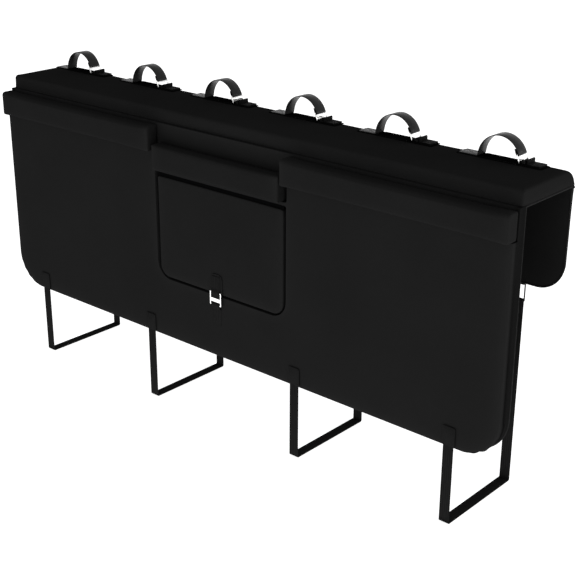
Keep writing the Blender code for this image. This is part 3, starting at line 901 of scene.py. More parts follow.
@dataclass
class PaddedSection:
    """A padded section: a fabric cover that swells over its foam between held seams."""

    node: str
    finishes: Finishes
    inset: Tuple[float, float, float] = (0.0006, 0.0020, 0.0006)
    rise: float = 0.0020
    spacing: float = 0.014
    welt_radius: float = 0.0019
    pressure: float = 4.0
    frames: int = 12
    fill: float = 0.8
    edge_reach: float = 0.012
    smoothing: float = 0.4
    smoothing_rounds: int = 2

    def shape(self) -> Object:
        """Model the section before it swells."""
        low, high = self.inner_box()
        return block(self.node + "_pad", low, high)

    def inner_box(self) -> Tuple[Vector, Vector]:
        """The section's box, drawn in to leave room for the swelling."""
        low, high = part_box(self.node)
        return low + Vector(self.inset), high - Vector(self.inset)

    def round_corners(self, pad: Object, radius: float, segments: int) -> None:
        """Round the two lower corners of a panel or flap.

        Args:
            pad: The pad.
            radius: The radius of the rounding.
            segments: How many faces it takes.
        """
        low, _ = self.inner_box()
        soften(
            pad, lambda edge: runs_along(edge, Y) and middle(edge).z < low.z + self.spacing, radius, segments
        )

    def welted(self, edge: bmesh.types.BMEdge) -> bool:
        """Whether a seam carries a welt."""
        return False

    def build(self) -> Object:
        """Model, slice, swell and dress the section.

        Returns:
            The finished pad.
        """
        pad = self.shape()
        self.mark_seams(pad)
        low, high = self.inner_box()
        slice_at(pad, X, even_places(low.x, high.x, self.spacing))
        slice_at(pad, Z, even_places(low.z, high.z, self.spacing))
        slice_at(pad, Y, self.depth_places(low.y, high.y))
        with editing(pad, Element.VERT):
            bpy.ops.mesh.select_all(action="SELECT")
            bpy.ops.mesh.remove_doubles(threshold=MERGE_DISTANCE * 20)
            bpy.ops.mesh.normals_make_consistent(inside=False)
        self.add_welt(pad)
        self.swell(pad)
        self.relax(pad)
        subdivide(pad)
        self.keep_edge_distance(pad)
        unwrap_flat(pad)
        shade(pad)
        dress(pad, self.finishes.fabric, Slot.FABRIC, self.node)
        return pad

    def depth_places(self, low: float, high: float) -> List[float]:
        """Where the section is sliced through its depth."""
        return even_places(low, high, self.spacing)

    def mark_seams(self, pad: Object) -> None:
        """Mark and crease the sharp edges as sewn seams.

        Args:
            pad: The pad.
        """
        with editing(pad):
            pick(pad, Element.EDGE, is_sharp)
            bpy.ops.mesh.mark_seam(clear=False)
            bpy.ops.transform.edge_crease(value=1.0)

    def add_welt(self, pad: Object) -> None:
        """Lay a welt along the seams that carry one.

        Args:
            pad: The pad.
        """
        known = set(bpy.data.objects)
        with editing(pad):
            count = pick(pad, Element.EDGE, lambda edge: edge.seam and self.welted(edge))
            if count:
                bpy.ops.mesh.duplicate()
                bpy.ops.mesh.separate(type="SELECTED")
        for welt in set(bpy.data.objects) - known:
            welt.name = self.node + "_welt"
            round_cord(welt, self.welt_radius)
            unwrap_flat(welt)
            shade(welt)
            dress(welt, self.finishes.welt, Slot.FABRIC)

    def held_points(self, pad: Object) -> List[int]:
        """The points that the seams hold still."""
        return sorted({index for edge in pad.data.edges if edge.use_seam for index in edge.vertices})

    def swell(self, pad: Object) -> None:
        """Let the cover swell under pressure, held at its seams, and limit how far it rises.

        Args:
            pad: The pad.
        """
        rest = [point.co.copy() for point in pad.data.vertices]
        group = pad.vertex_groups.new(name="held")
        group.add(self.held_points(pad), 1.0, "REPLACE")
        activate(pad)
        cloth = pad.modifiers.new("swell", "CLOTH")
        cloth.settings.quality = 4
        cloth.settings.vertex_group_mass = group.name
        cloth.settings.use_pressure = True
        cloth.settings.uniform_pressure_force = self.pressure
        cloth.settings.effector_weights.gravity = 0.0
        cloth.collision_settings.use_collision = False
        cloth.point_cache.frame_start = 1
        cloth.point_cache.frame_end = self.frames
        for step in range(1, self.frames + 1):
            bpy.context.scene.frame_set(step)
        bpy.ops.object.modifier_apply(modifier=cloth.name)
        bpy.context.scene.frame_set(1)
        pad.vertex_groups.clear()
        for point, before in zip(pad.data.vertices, rest):
            moved = point.co - before
            if moved.length > MERGE_DISTANCE:
                reach = self.rise * (1 - math.exp(-moved.length / self.rise))
                point.co = before + moved.normalized() * reach

    def relax(self, pad: Object) -> None:
        """Even out the swollen faces, with the seams held.

        Args:
            pad: The pad.
        """
        held = set(self.held_points(pad))
        with editing(pad, Element.VERT):
            pick(pad, Element.VERT, lambda point: point.index not in held and on_flat(point))
            bpy.ops.mesh.vertices_smooth(factor=self.smoothing, repeat=self.smoothing_rounds)

    def keep_edge_distance(self, pad: Object) -> None:
        """Store how close each point lies to a seam, for the wear of the fabric.

        Args:
            pad: The pad.
        """
        held = self.held_points(pad)
        tree = KDTree(len(held))
        for index in held:
            tree.insert(pad.data.vertices[index].co, index)
        tree.balance()
        attribute = pad.data.attributes.new("edge", "FLOAT", "POINT")
        for index, point in enumerate(pad.data.vertices):
            attribute.data[index].value = math.exp(-tree.find(point.co)[2] / self.edge_reach)


@dataclass
class FrontPanel(PaddedSection):
    """Front panel: two layers of foam with a channel between, a window and a rebate for the bolsters."""

    corner_radius: float = 0.085
    corner_segments: int = 36
    front_round: float = 0.0040
    window_width: float = 0.420
    window_height: float = 0.2700
    window_radius: float = 0.045
    window_segments: int = 16
    window_puff: float = 0.0010
    window_round: float = 0.0018
    groove: float = 0.0200
    groove_width: float = 0.0080
    groove_depth: float = 0.0062
    front_swell: float = 0.0018
    back_swell: float = 0.0004
    pucker_height: float = 0.0024
    pucker_length: float = 0.0260
    pucker_bias: float = 0.7
    held_reach: float = 1.5
    rebate_gap: float = 0.0004
    # Where the painted shade of the recessed gusset starts behind the front face, how far it takes to fade
    # in, and how far in from the outline it reaches.
    gusset_shade_start: float = 0.0065
    gusset_shade_fade: float = 0.0060
    gusset_shade_width: float = 0.0100
    drop: float = 0.0024
    back_puff: float = 0.0030
    inset: Tuple[float, float, float] = (-0.0015, 0.0010, 0.0006)

    def inner_box(self) -> Tuple[Vector, Vector]:
        """The panel's box, a little fuller below and behind."""
        low, high = super().inner_box()
        return low - Vector((0, 0, self.drop)), high + Vector((0, self.back_puff, 0))

    def shape(self) -> Object:
        """Model the panel with its window, rebate and channel.

        Returns:
            The panel before it swells.
        """
        low, high = self.inner_box()
        panel = block(self.node + "_pad", low, high)
        self.round_corners(panel, self.corner_radius - self.inset[X], self.corner_segments)
        soften(
            panel,
            lambda edge: abs(middle(edge).y - low.y) < MERGE_DISTANCE
            and middle(edge).z < high.z - MERGE_DISTANCE,
            self.front_round, 3,
        )
        self.add_channel(panel, low, high)
        carve(panel, self.window_cutter(low, high))
        soften(
            panel,
            lambda edge: is_sharp(edge)
            and abs(middle(edge).y - low.y) < MERGE_DISTANCE
            and abs(middle(edge).x) < self.window_width / 2 + self.window_puff,
            self.window_round, 2,
        )
        for cutter in self.rebate_cutters(low, high):
            carve(panel, cutter)
        return panel

    def add_channel(self, panel: Object, low: Vector, high: Vector) -> None:
        """Draw in a channel round the panel's edge, and swell the two layers beside it.

        Args:
            panel: The panel.
            low: The lowest corner of the panel's box.
            high: Its highest corner.
        """
        front = low.y + self.groove - self.groove_width / 2
        back = low.y + self.groove + self.groove_width / 2
        channel = (front + back) / 2
        layers = ((low.y + self.front_round + front) / 2, (back + high.y) / 2)
        slice_at(panel, Y, (front, channel, back, *layers))
        rises = (-self.groove_depth, self.front_swell, self.back_swell)
        for place, rise in zip((channel, *layers), rises):
            with editing(panel, Element.VERT):
                pick(
                    panel, Element.VERT,
                    lambda point: abs(point.co.y - place) < MERGE_DISTANCE
                    and point.co.z < high.z - MERGE_DISTANCE,
                )
                bpy.ops.transform.shrink_fatten(value=rise)
        self.pucker_corners(panel, low, high, front)

    def pucker_corners(self, panel: Object, low: Vector, high: Vector, front: float) -> None:
        """Gather the front layer's fabric where it goes round the lower corners.

        Args:
            panel: The panel.
            low: The lowest corner of the panel's box.
            high: Its highest corner.
            front: Where the front layer ends.
        """
        radius = self.corner_radius - self.inset[X]
        center_z = low.z + radius
        for point in panel.data.vertices:
            side = math.copysign(high.x - radius, point.co.x)
            from_center = Vector((point.co.x - side, 0.0, point.co.z - center_z))
            on_corner = point.co.z < center_z and (point.co.x - side) * side > 0
            if on_corner and point.co.y < front - MERGE_DISTANCE:
                angle = math.atan2(abs(from_center.x), -from_center.z)
                wave = math.sin(2 * math.pi * angle * radius / self.pucker_length) - self.pucker_bias
                fade = math.sin(2 * angle) ** 2
                depth = min((point.co.y - low.y) / self.front_round, 1.0)
                point.co += from_center.normalized() * self.pucker_height * wave * fade * (1 + depth) / 2

    def from_outline(self, pad: Object) -> List[float]:
        """How far inside the panel's sides and bottom each point lies.

        Args:
            pad: The pad.

        Returns:
            The distance of each point from the outline.
        """
        low, high = self.inner_box()
        radius = self.corner_radius - self.inset[X]
        return [
            radius - math.hypot(
                max(abs(point.co.x) - high.x + radius, 0.0), max(low.z + radius - point.co.z, 0.0)
            )
            for point in pad.data.vertices
        ]

    def held_points(self, pad: Object) -> List[int]:
        """The seams hold the panel, and so does the firm edge of its front layer.

        Args:
            pad: The pad.

        Returns:
            The numbers of the points.
        """
        low, _ = self.inner_box()
        reach = self.front_round * self.held_reach
        edge = {
            point.index for point, depth in zip(pad.data.vertices, self.from_outline(pad))
            if depth < reach and point.co.y < low.y + reach
        }
        return sorted(edge.union(super().held_points(pad)))

    def window_cutter(self, low: Vector, high: Vector) -> Object:
        """The window's space, with rounded lower corners.

        Args:
            low: The lowest corner of the panel's box.
            high: Its highest corner.

        Returns:
            The window's space.
        """
        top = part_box("window_hinge_tape")[1].z + SEAM_GAP
        half = self.window_width / 2 - self.window_puff
        bottom = top - self.window_height + self.window_puff
        cutter = block(
            "window_cutter", (-half, low.y - self.spacing, bottom), (half, high.y + self.spacing, top)
        )
        soften(
            cutter, lambda edge: runs_along(edge, Y) and middle(edge).z < bottom + MERGE_DISTANCE,
            self.window_radius - self.window_puff, self.window_segments,
        )
        return cutter

    def rebate_cutters(self, low: Vector, high: Vector) -> List[Object]:
        """The space behind and below the bolsters.

        Args:
            low: The lowest corner of the panel's box.
            high: Its highest corner.

        Returns:
            The two spaces.
        """
        side_low, side_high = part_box("bolster_left")
        middle_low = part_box("bolster_middle")[0]
        back = side_high.y + self.rebate_gap
        past = self.spacing
        inner = -side_high.x - SEAM_GAP
        side = block(
            "side_rebate", (low.x - past, low.y - past, side_low.z), (high.x + past, back, high.z + past)
        )
        center = block("middle_rebate", (-inner, low.y - past, middle_low.z), (inner, back, high.z + past))
        return [side, center]

    def depth_places(self, low: float, high: float) -> List[float]:
        """The panel is sliced through its depth before its window is cut."""
        return []

    def keep_edge_distance(self, pad: Object) -> None:
        """Store also how far each point of the outer edge lies in the gusset behind the front layer, as the
        mask for the painted shade there.

        Args:
            pad: The pad.
        """
        super().keep_edge_distance(pad)
        low, _ = self.inner_box()
        # Painted shade mask: it is one behind the front layer near the outline, where the gusset fabric is
        # darkened.
        attribute = pad.data.attributes.new("gusset_painted_shade", "FLOAT", "POINT")
        depths = self.from_outline(pad)
        for index, point in enumerate(pad.data.vertices):
            if depths[index] < self.gusset_shade_width:
                behind = (point.co.y - low.y - self.gusset_shade_start) / self.gusset_shade_fade
                attribute.data[index].value = min(max(behind, 0.0), 1.0)

    def welted(self, edge: bmesh.types.BMEdge) -> bool:
        """A welt runs down both sides and along the bottom of the panel's back.

        Args:
            edge: A seam.

        Returns:
            Whether it carries a welt.
        """
        place = middle(edge)
        low, high = self.inner_box()
        on_back = abs(place.y - high.y) < NEAR
        on_outline = abs(place.x) > self.window_width / 2 + self.spacing or place.z < low.z + self.spacing
        return on_back and on_outline and place.z < high.z - NEAR


@dataclass
class TopPanel(PaddedSection):
    """Top panel: flat under the bicycles, rounded in front and folded over the rear edge."""

    front_radius: float = 0.009
    rear_radius: float = 0.0375
    end_radius: float = 0.006
    seam_rise: float = 0.0025
    spacing: float = 0.013
    inset: Tuple[float, float, float] = (-0.0012, 0.0008, 0.0012)
    rise: float = 0.0012

    def shape(self) -> Object:
        """Model the panel's section and its puffed ends.

        Returns:
            The panel before it swells.
        """
        low, high = self.inner_box()
        flap_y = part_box("back_flap")[0].y
        front_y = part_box("front_panel")[1].y
        low.z = 0.0
        panel = block(self.node + "_pad", low, high)
        soften(panel, long_edge(Y, low.y, high.z), self.front_radius, 4)
        soften(panel, long_edge(Y, high.y, high.z), self.rear_radius - self.inset[Z], 10)
        soften(panel, self.end_edge(high), self.end_radius, 4)
        slice_at(panel, Y, (front_y - self.seam_rise, front_y + SEAM_GAP, flap_y))
        with editing(panel, Element.FACE):
            pick(
                panel, Element.FACE,
                lambda face: face.normal.z < -0.9 and face.calc_center_median().y > flap_y,
            )
            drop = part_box(self.node)[0].z
            bpy.ops.mesh.extrude_region_move(TRANSFORM_OT_translate={"value": (0, 0, drop)})
        with editing(panel, Element.VERT):
            pick(
                panel, Element.VERT,
                lambda point: abs(point.co.z) < MERGE_DISTANCE and point.co.y < front_y - self.seam_rise / 2,
            )
            bpy.ops.transform.translate(value=(0, 0, self.seam_rise))
        return panel

    @staticmethod
    def end_edge(high: Vector) -> Test:
        """A test for the outer edges of both ends, which are rounded.

        Args:
            high: The highest corner of the panel's box.

        Returns:
            The test.
        """
        return lambda edge: (
            is_sharp(edge)
            and abs(abs(middle(edge).x) - high.x) < MERGE_DISTANCE
            and not (runs_along(edge, Y) and middle(edge).z < MERGE_DISTANCE)
        )

    def welted(self, edge: bmesh.types.BMEdge) -> bool:
        """A welt runs along the lower edge of both ends, up to the back flap.

        Args:
            edge: A seam.

        Returns:
            Whether it carries a welt.
        """
        place = middle(edge)
        flap_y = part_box("back_flap")[0].y
        at_end = abs(abs(place.x) - self.inner_box()[1].x) < NEAR
        return at_end and runs_along(edge, Y) and place.z < self.seam_rise * 2 and place.y < flap_y


@dataclass
class BackFlap(PaddedSection):
    """Back flap: a thin padded flap with a welt along its inner edge."""

    corner_radius: float = 0.060
    corner_segments: int = 20
    outer_round: float = 0.0035
    rise: float = 0.0012
    inset: Tuple[float, float, float] = (-0.0008, 0.0012, 0.0006)

    def shape(self) -> Object:
        """Model the flap with its rounded corners and soft outer edge.

        Returns:
            The flap before it swells.
        """
        low, high = self.inner_box()
        flap = block(self.node + "_pad", low, high)
        self.round_corners(flap, self.corner_radius - self.inset[X], self.corner_segments)
        soften(
            flap,
            lambda edge: is_sharp(edge)
            and abs(middle(edge).y - high.y) < MERGE_DISTANCE
            and middle(edge).z < high.z - MERGE_DISTANCE,
            self.outer_round, 3,
        )
        return flap

    def welted(self, edge: bmesh.types.BMEdge) -> bool:
        """The welt runs down both sides and along the bottom of the inner face.

        Args:
            edge: A seam.

        Returns:
            Whether it carries a welt.
        """
        place = middle(edge)
        low, high = self.inner_box()
        return abs(place.y - low.y) < NEAR and place.z < high.z


@dataclass
class Bolster(PaddedSection):
    """A padded bar with soft edges and puffed ends."""

    reach_left: float = 0.0
    top_round: float = 0.0090
    low_round: float = 0.0040
    back_round: float = 0.0036
    end_round: float = 0.0032
    spacing: float = 0.009
    inset: Tuple[float, float, float] = (0.0, 0.0010, 0.0006)
    rise: float = 0.0015

    def inner_box(self) -> Tuple[Vector, Vector]:
        """The bar's box, drawn out at its left end by the stuffing."""
        low, high = super().inner_box()
        return low - Vector((self.reach_left, 0, 0)), high

    def shape(self) -> Object:
        """Model the bar, rounded most along its upper front edge.

        Returns:
            The bar before it swells.
        """
        bar = super().shape()
        low, high = self.inner_box()
        soften(bar, long_edge(Y, low.y, high.z), self.top_round, 5)
        soften(bar, long_edge(Y, low.y, low.z), self.low_round, 3)
        soften(bar, lambda edge: runs_along(edge, X) and is_sharp(edge), self.back_round, 2)
        soften(bar, is_sharp, self.end_round, 2)
        return bar

    def mark_seams(self, pad: Object) -> None:
        """The seams run along the rounded edges of both ends.

        Args:
            pad: The pad.
        """
        low, high = self.inner_box()
        end = high.x - self.end_round
        start = low.x + self.end_round
        with editing(pad):
            pick(
                pad, Element.EDGE,
                lambda edge: not runs_along(edge, X)
                and min(abs(middle(edge).x - end), abs(middle(edge).x - start)) < NEAR,
            )
            bpy.ops.mesh.mark_seam(clear=False)


@dataclass
class WindowFlap(PaddedSection):
    """The padded flap in the window, with a backing behind it."""

    corner_radius: float = 0.0300
    corner_segments: int = 12
    edge_round: float = 0.0022
    hem_rise: float = 0.0006
    backing: float = 0.0170
    spacing: float = 0.010
    inset: Tuple[float, float, float] = (-0.0002, 0.0012, -0.0020)
    rise: float = 0.0014

    def inner_box(self) -> Tuple[Vector, Vector]:
        """The flap's box, with the backing behind it and its hem a little higher."""
        low, high = super().inner_box()
        return low + Vector((0, 0, self.hem_rise)), high + Vector((0, self.backing, 0))

    def shape(self) -> Object:
        """Model the flap with rounded lower corners and soft front edges.

        Returns:
            The flap before it swells.
        """
        flap = super().shape()
        low, _ = self.inner_box()
        self.round_corners(flap, self.corner_radius, self.corner_segments)
        soften(flap, lambda edge: abs(middle(edge).y - low.y) < MERGE_DISTANCE, self.edge_round, 3)
        return flap

    def mark_seams(self, pad: Object) -> None:
        """The seam runs round the flap behind its rounded front edge.

        Args:
            pad: The pad.
        """
        seam_y = self.inner_box()[0].y + self.edge_round
        with editing(pad):
            pick(
                pad, Element.EDGE,
                lambda edge: is_sharp(edge)
                or not runs_along(edge, Y) and abs(middle(edge).y - seam_y) < NEAR,
            )
            bpy.ops.mesh.mark_seam(clear=False)


# Straps and their fittings


@dataclass
class Strip:
    """Webbing of one width and thickness, bent along a path."""

    name: str
    path: Sequence[Vector]
    width: float
    thickness: float
    facing: Facing
    place: Vector
    selvage: float = 0.00035

    def build(self) -> Object:
        """Extrude one edge along the path, map it, thicken it and soften its edges.

        Returns:
            The strip, undressed.
        """
        right, up, across = self.facing.value
        deselect_all()
        bpy.ops.mesh.primitive_plane_add(size=1.0)
        strip = bpy.context.object
        strip.name = self.name
        strip.data.name = self.name
        with editing(strip, Element.VERT):
            pick(strip, Element.VERT, lambda point: point.co.y > 0)
            bpy.ops.mesh.delete(type="VERT")
        points = [self.place + right * point.x + up * point.y for point in self.path]
        strip.data.vertices[0].co = points[0] - across * self.width / 2
        strip.data.vertices[1].co = points[0] + across * self.width / 2
        with editing(strip, Element.EDGE):
            bpy.ops.mesh.select_all(action="SELECT")
            for before, after in zip(points, points[1:]):
                bpy.ops.mesh.extrude_edges_move(TRANSFORM_OT_translate={"value": after - before})
        with editing(strip, Element.FACE):
            bpy.ops.mesh.select_all(action="SELECT")
            bpy.ops.mesh.normals_make_consistent(inside=False)
        self.map_along(strip, points, across)
        activate(strip)
        thicken = strip.modifiers.new("thickness", "SOLIDIFY")
        thicken.thickness = self.thickness
        thicken.offset = 0.0
        thicken.use_even_offset = True
        bpy.ops.object.modifier_apply(modifier=thicken.name)
        soften(strip, self.on_selvage, self.selvage, 2)
        shade(strip, math.radians(40))
        return strip

    @staticmethod
    def on_selvage(edge: bmesh.types.BMEdge) -> bool:
        """Whether an edge runs along the strip's sides or ends."""
        return is_sharp(edge) and edge.calc_face_angle(0.0) > math.radians(70)

    def map_along(self, strip: Object, points: Sequence[Vector], across: Vector) -> None:
        """Give the strip a UV map of its width and its length, in metres.

        Args:
            strip: The strip before it is thickened.
            points: Its path.
            across: The way its width runs.
        """
        lengths = [0.0]
        for before, after in zip(points, points[1:]):
            lengths.append(lengths[-1] + (after - before).length)
        tree = KDTree(len(points))
        for index, point in enumerate(points):
            tree.insert(point - across * point.dot(across), index)
        tree.balance()
        layers = strip.data.uv_layers
        layer = layers[0] if layers else layers.new(name="UVMap")
        for loop in strip.data.loops:
            point = strip.data.vertices[loop.vertex_index].co
            nearest = tree.find(point - across * point.dot(across))[1]
            layer.data[loop.index].uv = (point.dot(across), lengths[nearest])


def shifted_copy(piece: Object, name: str, shift: Vector) -> Object:
    """Copy a piece with its own mesh, moved in that mesh.

    Args:
        piece: The piece to copy.
        name: The copy's name.
        shift: How far it moves.

    Returns:
        The copy.
    """
    copy = bpy.data.objects.new(name, piece.data.copy())
    copy.data.name = name
    copy.data.transform(Matrix.Translation(shift))
    bpy.context.scene.collection.objects.link(copy)
    return copy


@dataclass
class Fitting:
    """A metal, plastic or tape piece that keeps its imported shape, with its edges eased."""

    node: str
    look: Material
    slot: Slot
    ease: float
    segments: int = 2

    def build(self) -> Object:
        """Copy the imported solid, ease its sharp edges and dress it.

        Returns:
            The fitting.
        """
        piece = copy_of(self.node, self.node + "_shape")
        soften(piece, is_sharp, self.ease, self.segments)
        unwrap_flat(piece)
        shade(piece)
        return dress(piece, self.look, self.slot, self.node)


@dataclass
class StrapSet:
    """Straps that repeat along the pad: each kind is modelled once and copied to every place."""

    finishes: Finishes
    seamstress: Seamstress
    count: int
    width: float
    thickness: float

    def lay(self, facing: Facing, kinds: Dict[str, Tuple[List[Vector], Material]]) -> None:
        """Model one strip of each kind, copy it to every place, and fit and sew what holds it.

        Args:
            facing: The plane in which the webbing is bent.
            kinds: The path and the finish of each kind.
        """
        first = self.center(1)
        models = {
            kind: Strip(f"{kind}_model", path, self.width, self.thickness, facing, first).build()
            for kind, (path, _) in kinds.items()
        }
        for number in range(1, self.count + 1):
            shift = self.center(number) - first
            for kind, model in models.items():
                copy = shifted_copy(model, f"{kind}_webbing_{number}", shift)
                dress(copy, kinds[kind][1], Slot.WEBBING, f"{kind}_{number}")
            self.fit(number)
            self.sew_ends(number)
        for model in models.values():
            bpy.data.objects.remove(model, do_unlink=True)

    def center(self, number: int) -> Vector:
        """The middle of one strap's place, at height zero."""
        raise NotImplementedError

    def fit(self, number: int) -> None:
        """Add the fittings of one strap."""
        raise NotImplementedError

    def sew_ends(self, number: int) -> None:
        """Sew down the ends of one strap."""
        raise NotImplementedError


@dataclass
class TubeStraps(StrapSet):
    """The six arched straps that hold the bicycles' down tubes, with rings, keepers and bases."""

    count: int = 6
    width: float = 0.031
    thickness: float = 0.0018
    half_span: float = 0.049
    arch_height: float = 0.0505
    sewn_thickness: float = 0.0008
    end_margin: float = 0.006
    bar: float = 0.0022
    plate: float = 0.0018
    bar_spacing: float = 0.0172
    ring_return: float = 0.012
    fold_height: float = 0.0085
    fold_radius: float = 0.0016
    fold_from_bar: float = 0.013
    steps: int = 6
    arch_steps: int = 40
    lean_rounds: int = 12
    steepest: float = 0.95
    stitch_inset: float = 0.004
    rim: float = 0.0016

    def __post_init__(self) -> None:
        """Read the bases' places from the frame and work out the rings' lean."""
        low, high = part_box("strap_base_1")
        self.half_base = (high.x - low.x) / 2
        self.seat_z = high.z
        self.flat_z = low.z + self.sewn_thickness + SEAM_GAP + self.thickness / 2
        self.wrap = math.hypot(self.bar, self.plate) / 2 + SEAM_GAP + self.thickness / 2
        self.lower_z = self.flat_z + self.wrap
        height = self.bar_spacing
        for _ in range(self.lean_rounds):
            self.rise = math.asin(min(height / self.arch_height, self.steepest))
            lean = self.half_span * math.sin(self.rise)
            self.tilt = math.atan2(lean, self.arch_height * math.cos(self.rise))
            reach = self.bar_spacing * math.cos(self.tilt) + self.wrap * math.sin(self.tilt)
            height = self.lower_z - self.seat_z + reach
        upper_x = self.half_span * math.cos(self.rise) - self.wrap * math.cos(self.tilt)
        self.upper = Vector((upper_x, self.lower_z + self.bar_spacing * math.cos(self.tilt)))
        self.lower = self.upper + self.bar_spacing * Vector((math.sin(self.tilt), -math.cos(self.tilt)))

    def center(self, number: int) -> Vector:
        """The middle of one base, at height zero."""
        low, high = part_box(f"strap_base_{number}")
        return Vector(((low.x + high.x) / 2, (low.y + high.y) / 2, 0.0))

    def strap_path(self) -> List[Vector]:
        """The arched strap: sewn foot, arch and fold round the ring's upper bar.

        Returns:
            The path's points.
        """
        lift = self.thickness * 2
        foot = fillet_path(
            [
                (self.end_margin - self.half_base, self.flat_z),
                (-self.half_span, self.flat_z),
                (-self.half_span, self.flat_z + lift * 2),
            ],
            [lift], self.steps,
        )[:-1]
        first = math.pi - math.asin((self.flat_z + lift - self.seat_z) / self.arch_height)
        arch = []
        for index in range(1, self.arch_steps + 1):
            angle = first + (self.rise - first) * index / self.arch_steps
            height = self.seat_z + self.arch_height * math.sin(angle)
            arch.append(Vector((self.half_span * math.cos(angle), height)))
        along = Vector((-math.sin(self.tilt), math.cos(self.tilt)))
        outward = Vector((math.cos(self.tilt), math.sin(self.tilt)))
        tight = self.wrap * TIGHT
        fold = fillet_path(
            [
                self.upper + self.wrap * outward,
                self.upper + self.wrap * outward - self.wrap * along,
                self.upper - self.wrap * outward - self.wrap * along,
                self.upper - self.wrap * outward + self.ring_return * along,
            ],
            [tight, tight], self.steps,
        )
        return spaced(foot + arch + fold[1:])

    def keeper_path(self) -> List[Vector]:
        """The keeper: round the ring's lower bar, with its folded end standing up.

        Returns:
            The path's points.
        """
        half = self.thickness / 2
        upper_z = self.flat_z + self.thickness + SEAM_GAP
        end_x = self.half_base - self.end_margin
        fold_x = self.lower.x + self.fold_from_bar
        fold_right = fold_x + 2 * self.fold_radius
        fold_top = upper_z + self.fold_height
        corners = [
            (end_x, self.flat_z),
            (self.lower.x - self.wrap, self.flat_z),
            (self.lower.x - self.wrap, self.lower.y + self.wrap),
            (self.lower.x + self.wrap / 2, self.lower.y + self.wrap),
            (self.lower.x + 2 * self.wrap, upper_z),
            (fold_x, upper_z),
            (fold_x, fold_top),
            (fold_right, fold_top),
            (fold_right, upper_z),
            (end_x, upper_z),
        ]
        wrap, tight = self.wrap * TIGHT, self.fold_radius * TIGHT
        radii = [wrap, wrap, half, half, half * 1.2, tight, tight, half * 1.2]
        return fillet_path(corners, radii, self.steps)

    def build(self) -> None:
        """Lay the straps and their keepers."""
        kinds = {
            "tube_strap": (self.strap_path(), self.finishes.satin),
            "ring_keeper": (self.keeper_path(), self.finishes.black),
        }
        self.lay(Facing.ALONG_PAD, kinds)

    def fit(self, number: int) -> None:
        """Add the ring and the base of one strap."""
        Fitting(f"tube_ring_{number}", self.finishes.steel, Slot.STEEL, 0.0005).build()
        Fitting(f"strap_base_{number}", self.finishes.tape, Slot.TAPE, 0.00025, 1).build()

    def sew_ends(self, number: int) -> None:
        """Sew the strap's foot and the keeper down with crossed boxes, and the base at its rim.

        Args:
            number: The strap's number.
        """
        center = self.center(number)
        up = Vector((0, 0, 1))
        inset = self.stitch_inset
        half_width = self.width / 2 - inset
        foot_left = self.end_margin - self.half_base + inset
        foot_right = -self.half_span - self.thickness * 2 - inset
        foot_z = self.flat_z + self.thickness / 2
        keeper_left = self.lower.x + self.fold_from_bar + 2 * self.fold_radius + inset
        keeper_right = self.half_base - self.end_margin - inset
        keeper_z = foot_z + self.thickness + SEAM_GAP
        runs = []
        for left, right, height in ((foot_left, foot_right, foot_z), (keeper_left, keeper_right, keeper_z)):
            place = center + Vector(((left + right) / 2, 0, height))
            runs += box_runs(place, Vector((0, half_width, 0)), Vector(((right - left) / 2, 0, 0)), up, True)
        low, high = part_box(f"strap_base_{number}")
        for side_y in (low.y + self.rim, high.y - self.rim):
            for start, end, height in (
                (low.x + inset, center.x - self.half_span, low.z + self.sewn_thickness),
                (center.x - self.half_span + inset, center.x + self.lower.x - self.wrap - inset, high.z),
                (center.x + self.lower.x, high.x - inset, low.z + self.sewn_thickness),
            ):
                runs.append((Vector((start, side_y, height)), Vector((end, side_y, height)), up))
        self.seamstress.sew(f"tube_strap_stitching_{number}", runs)


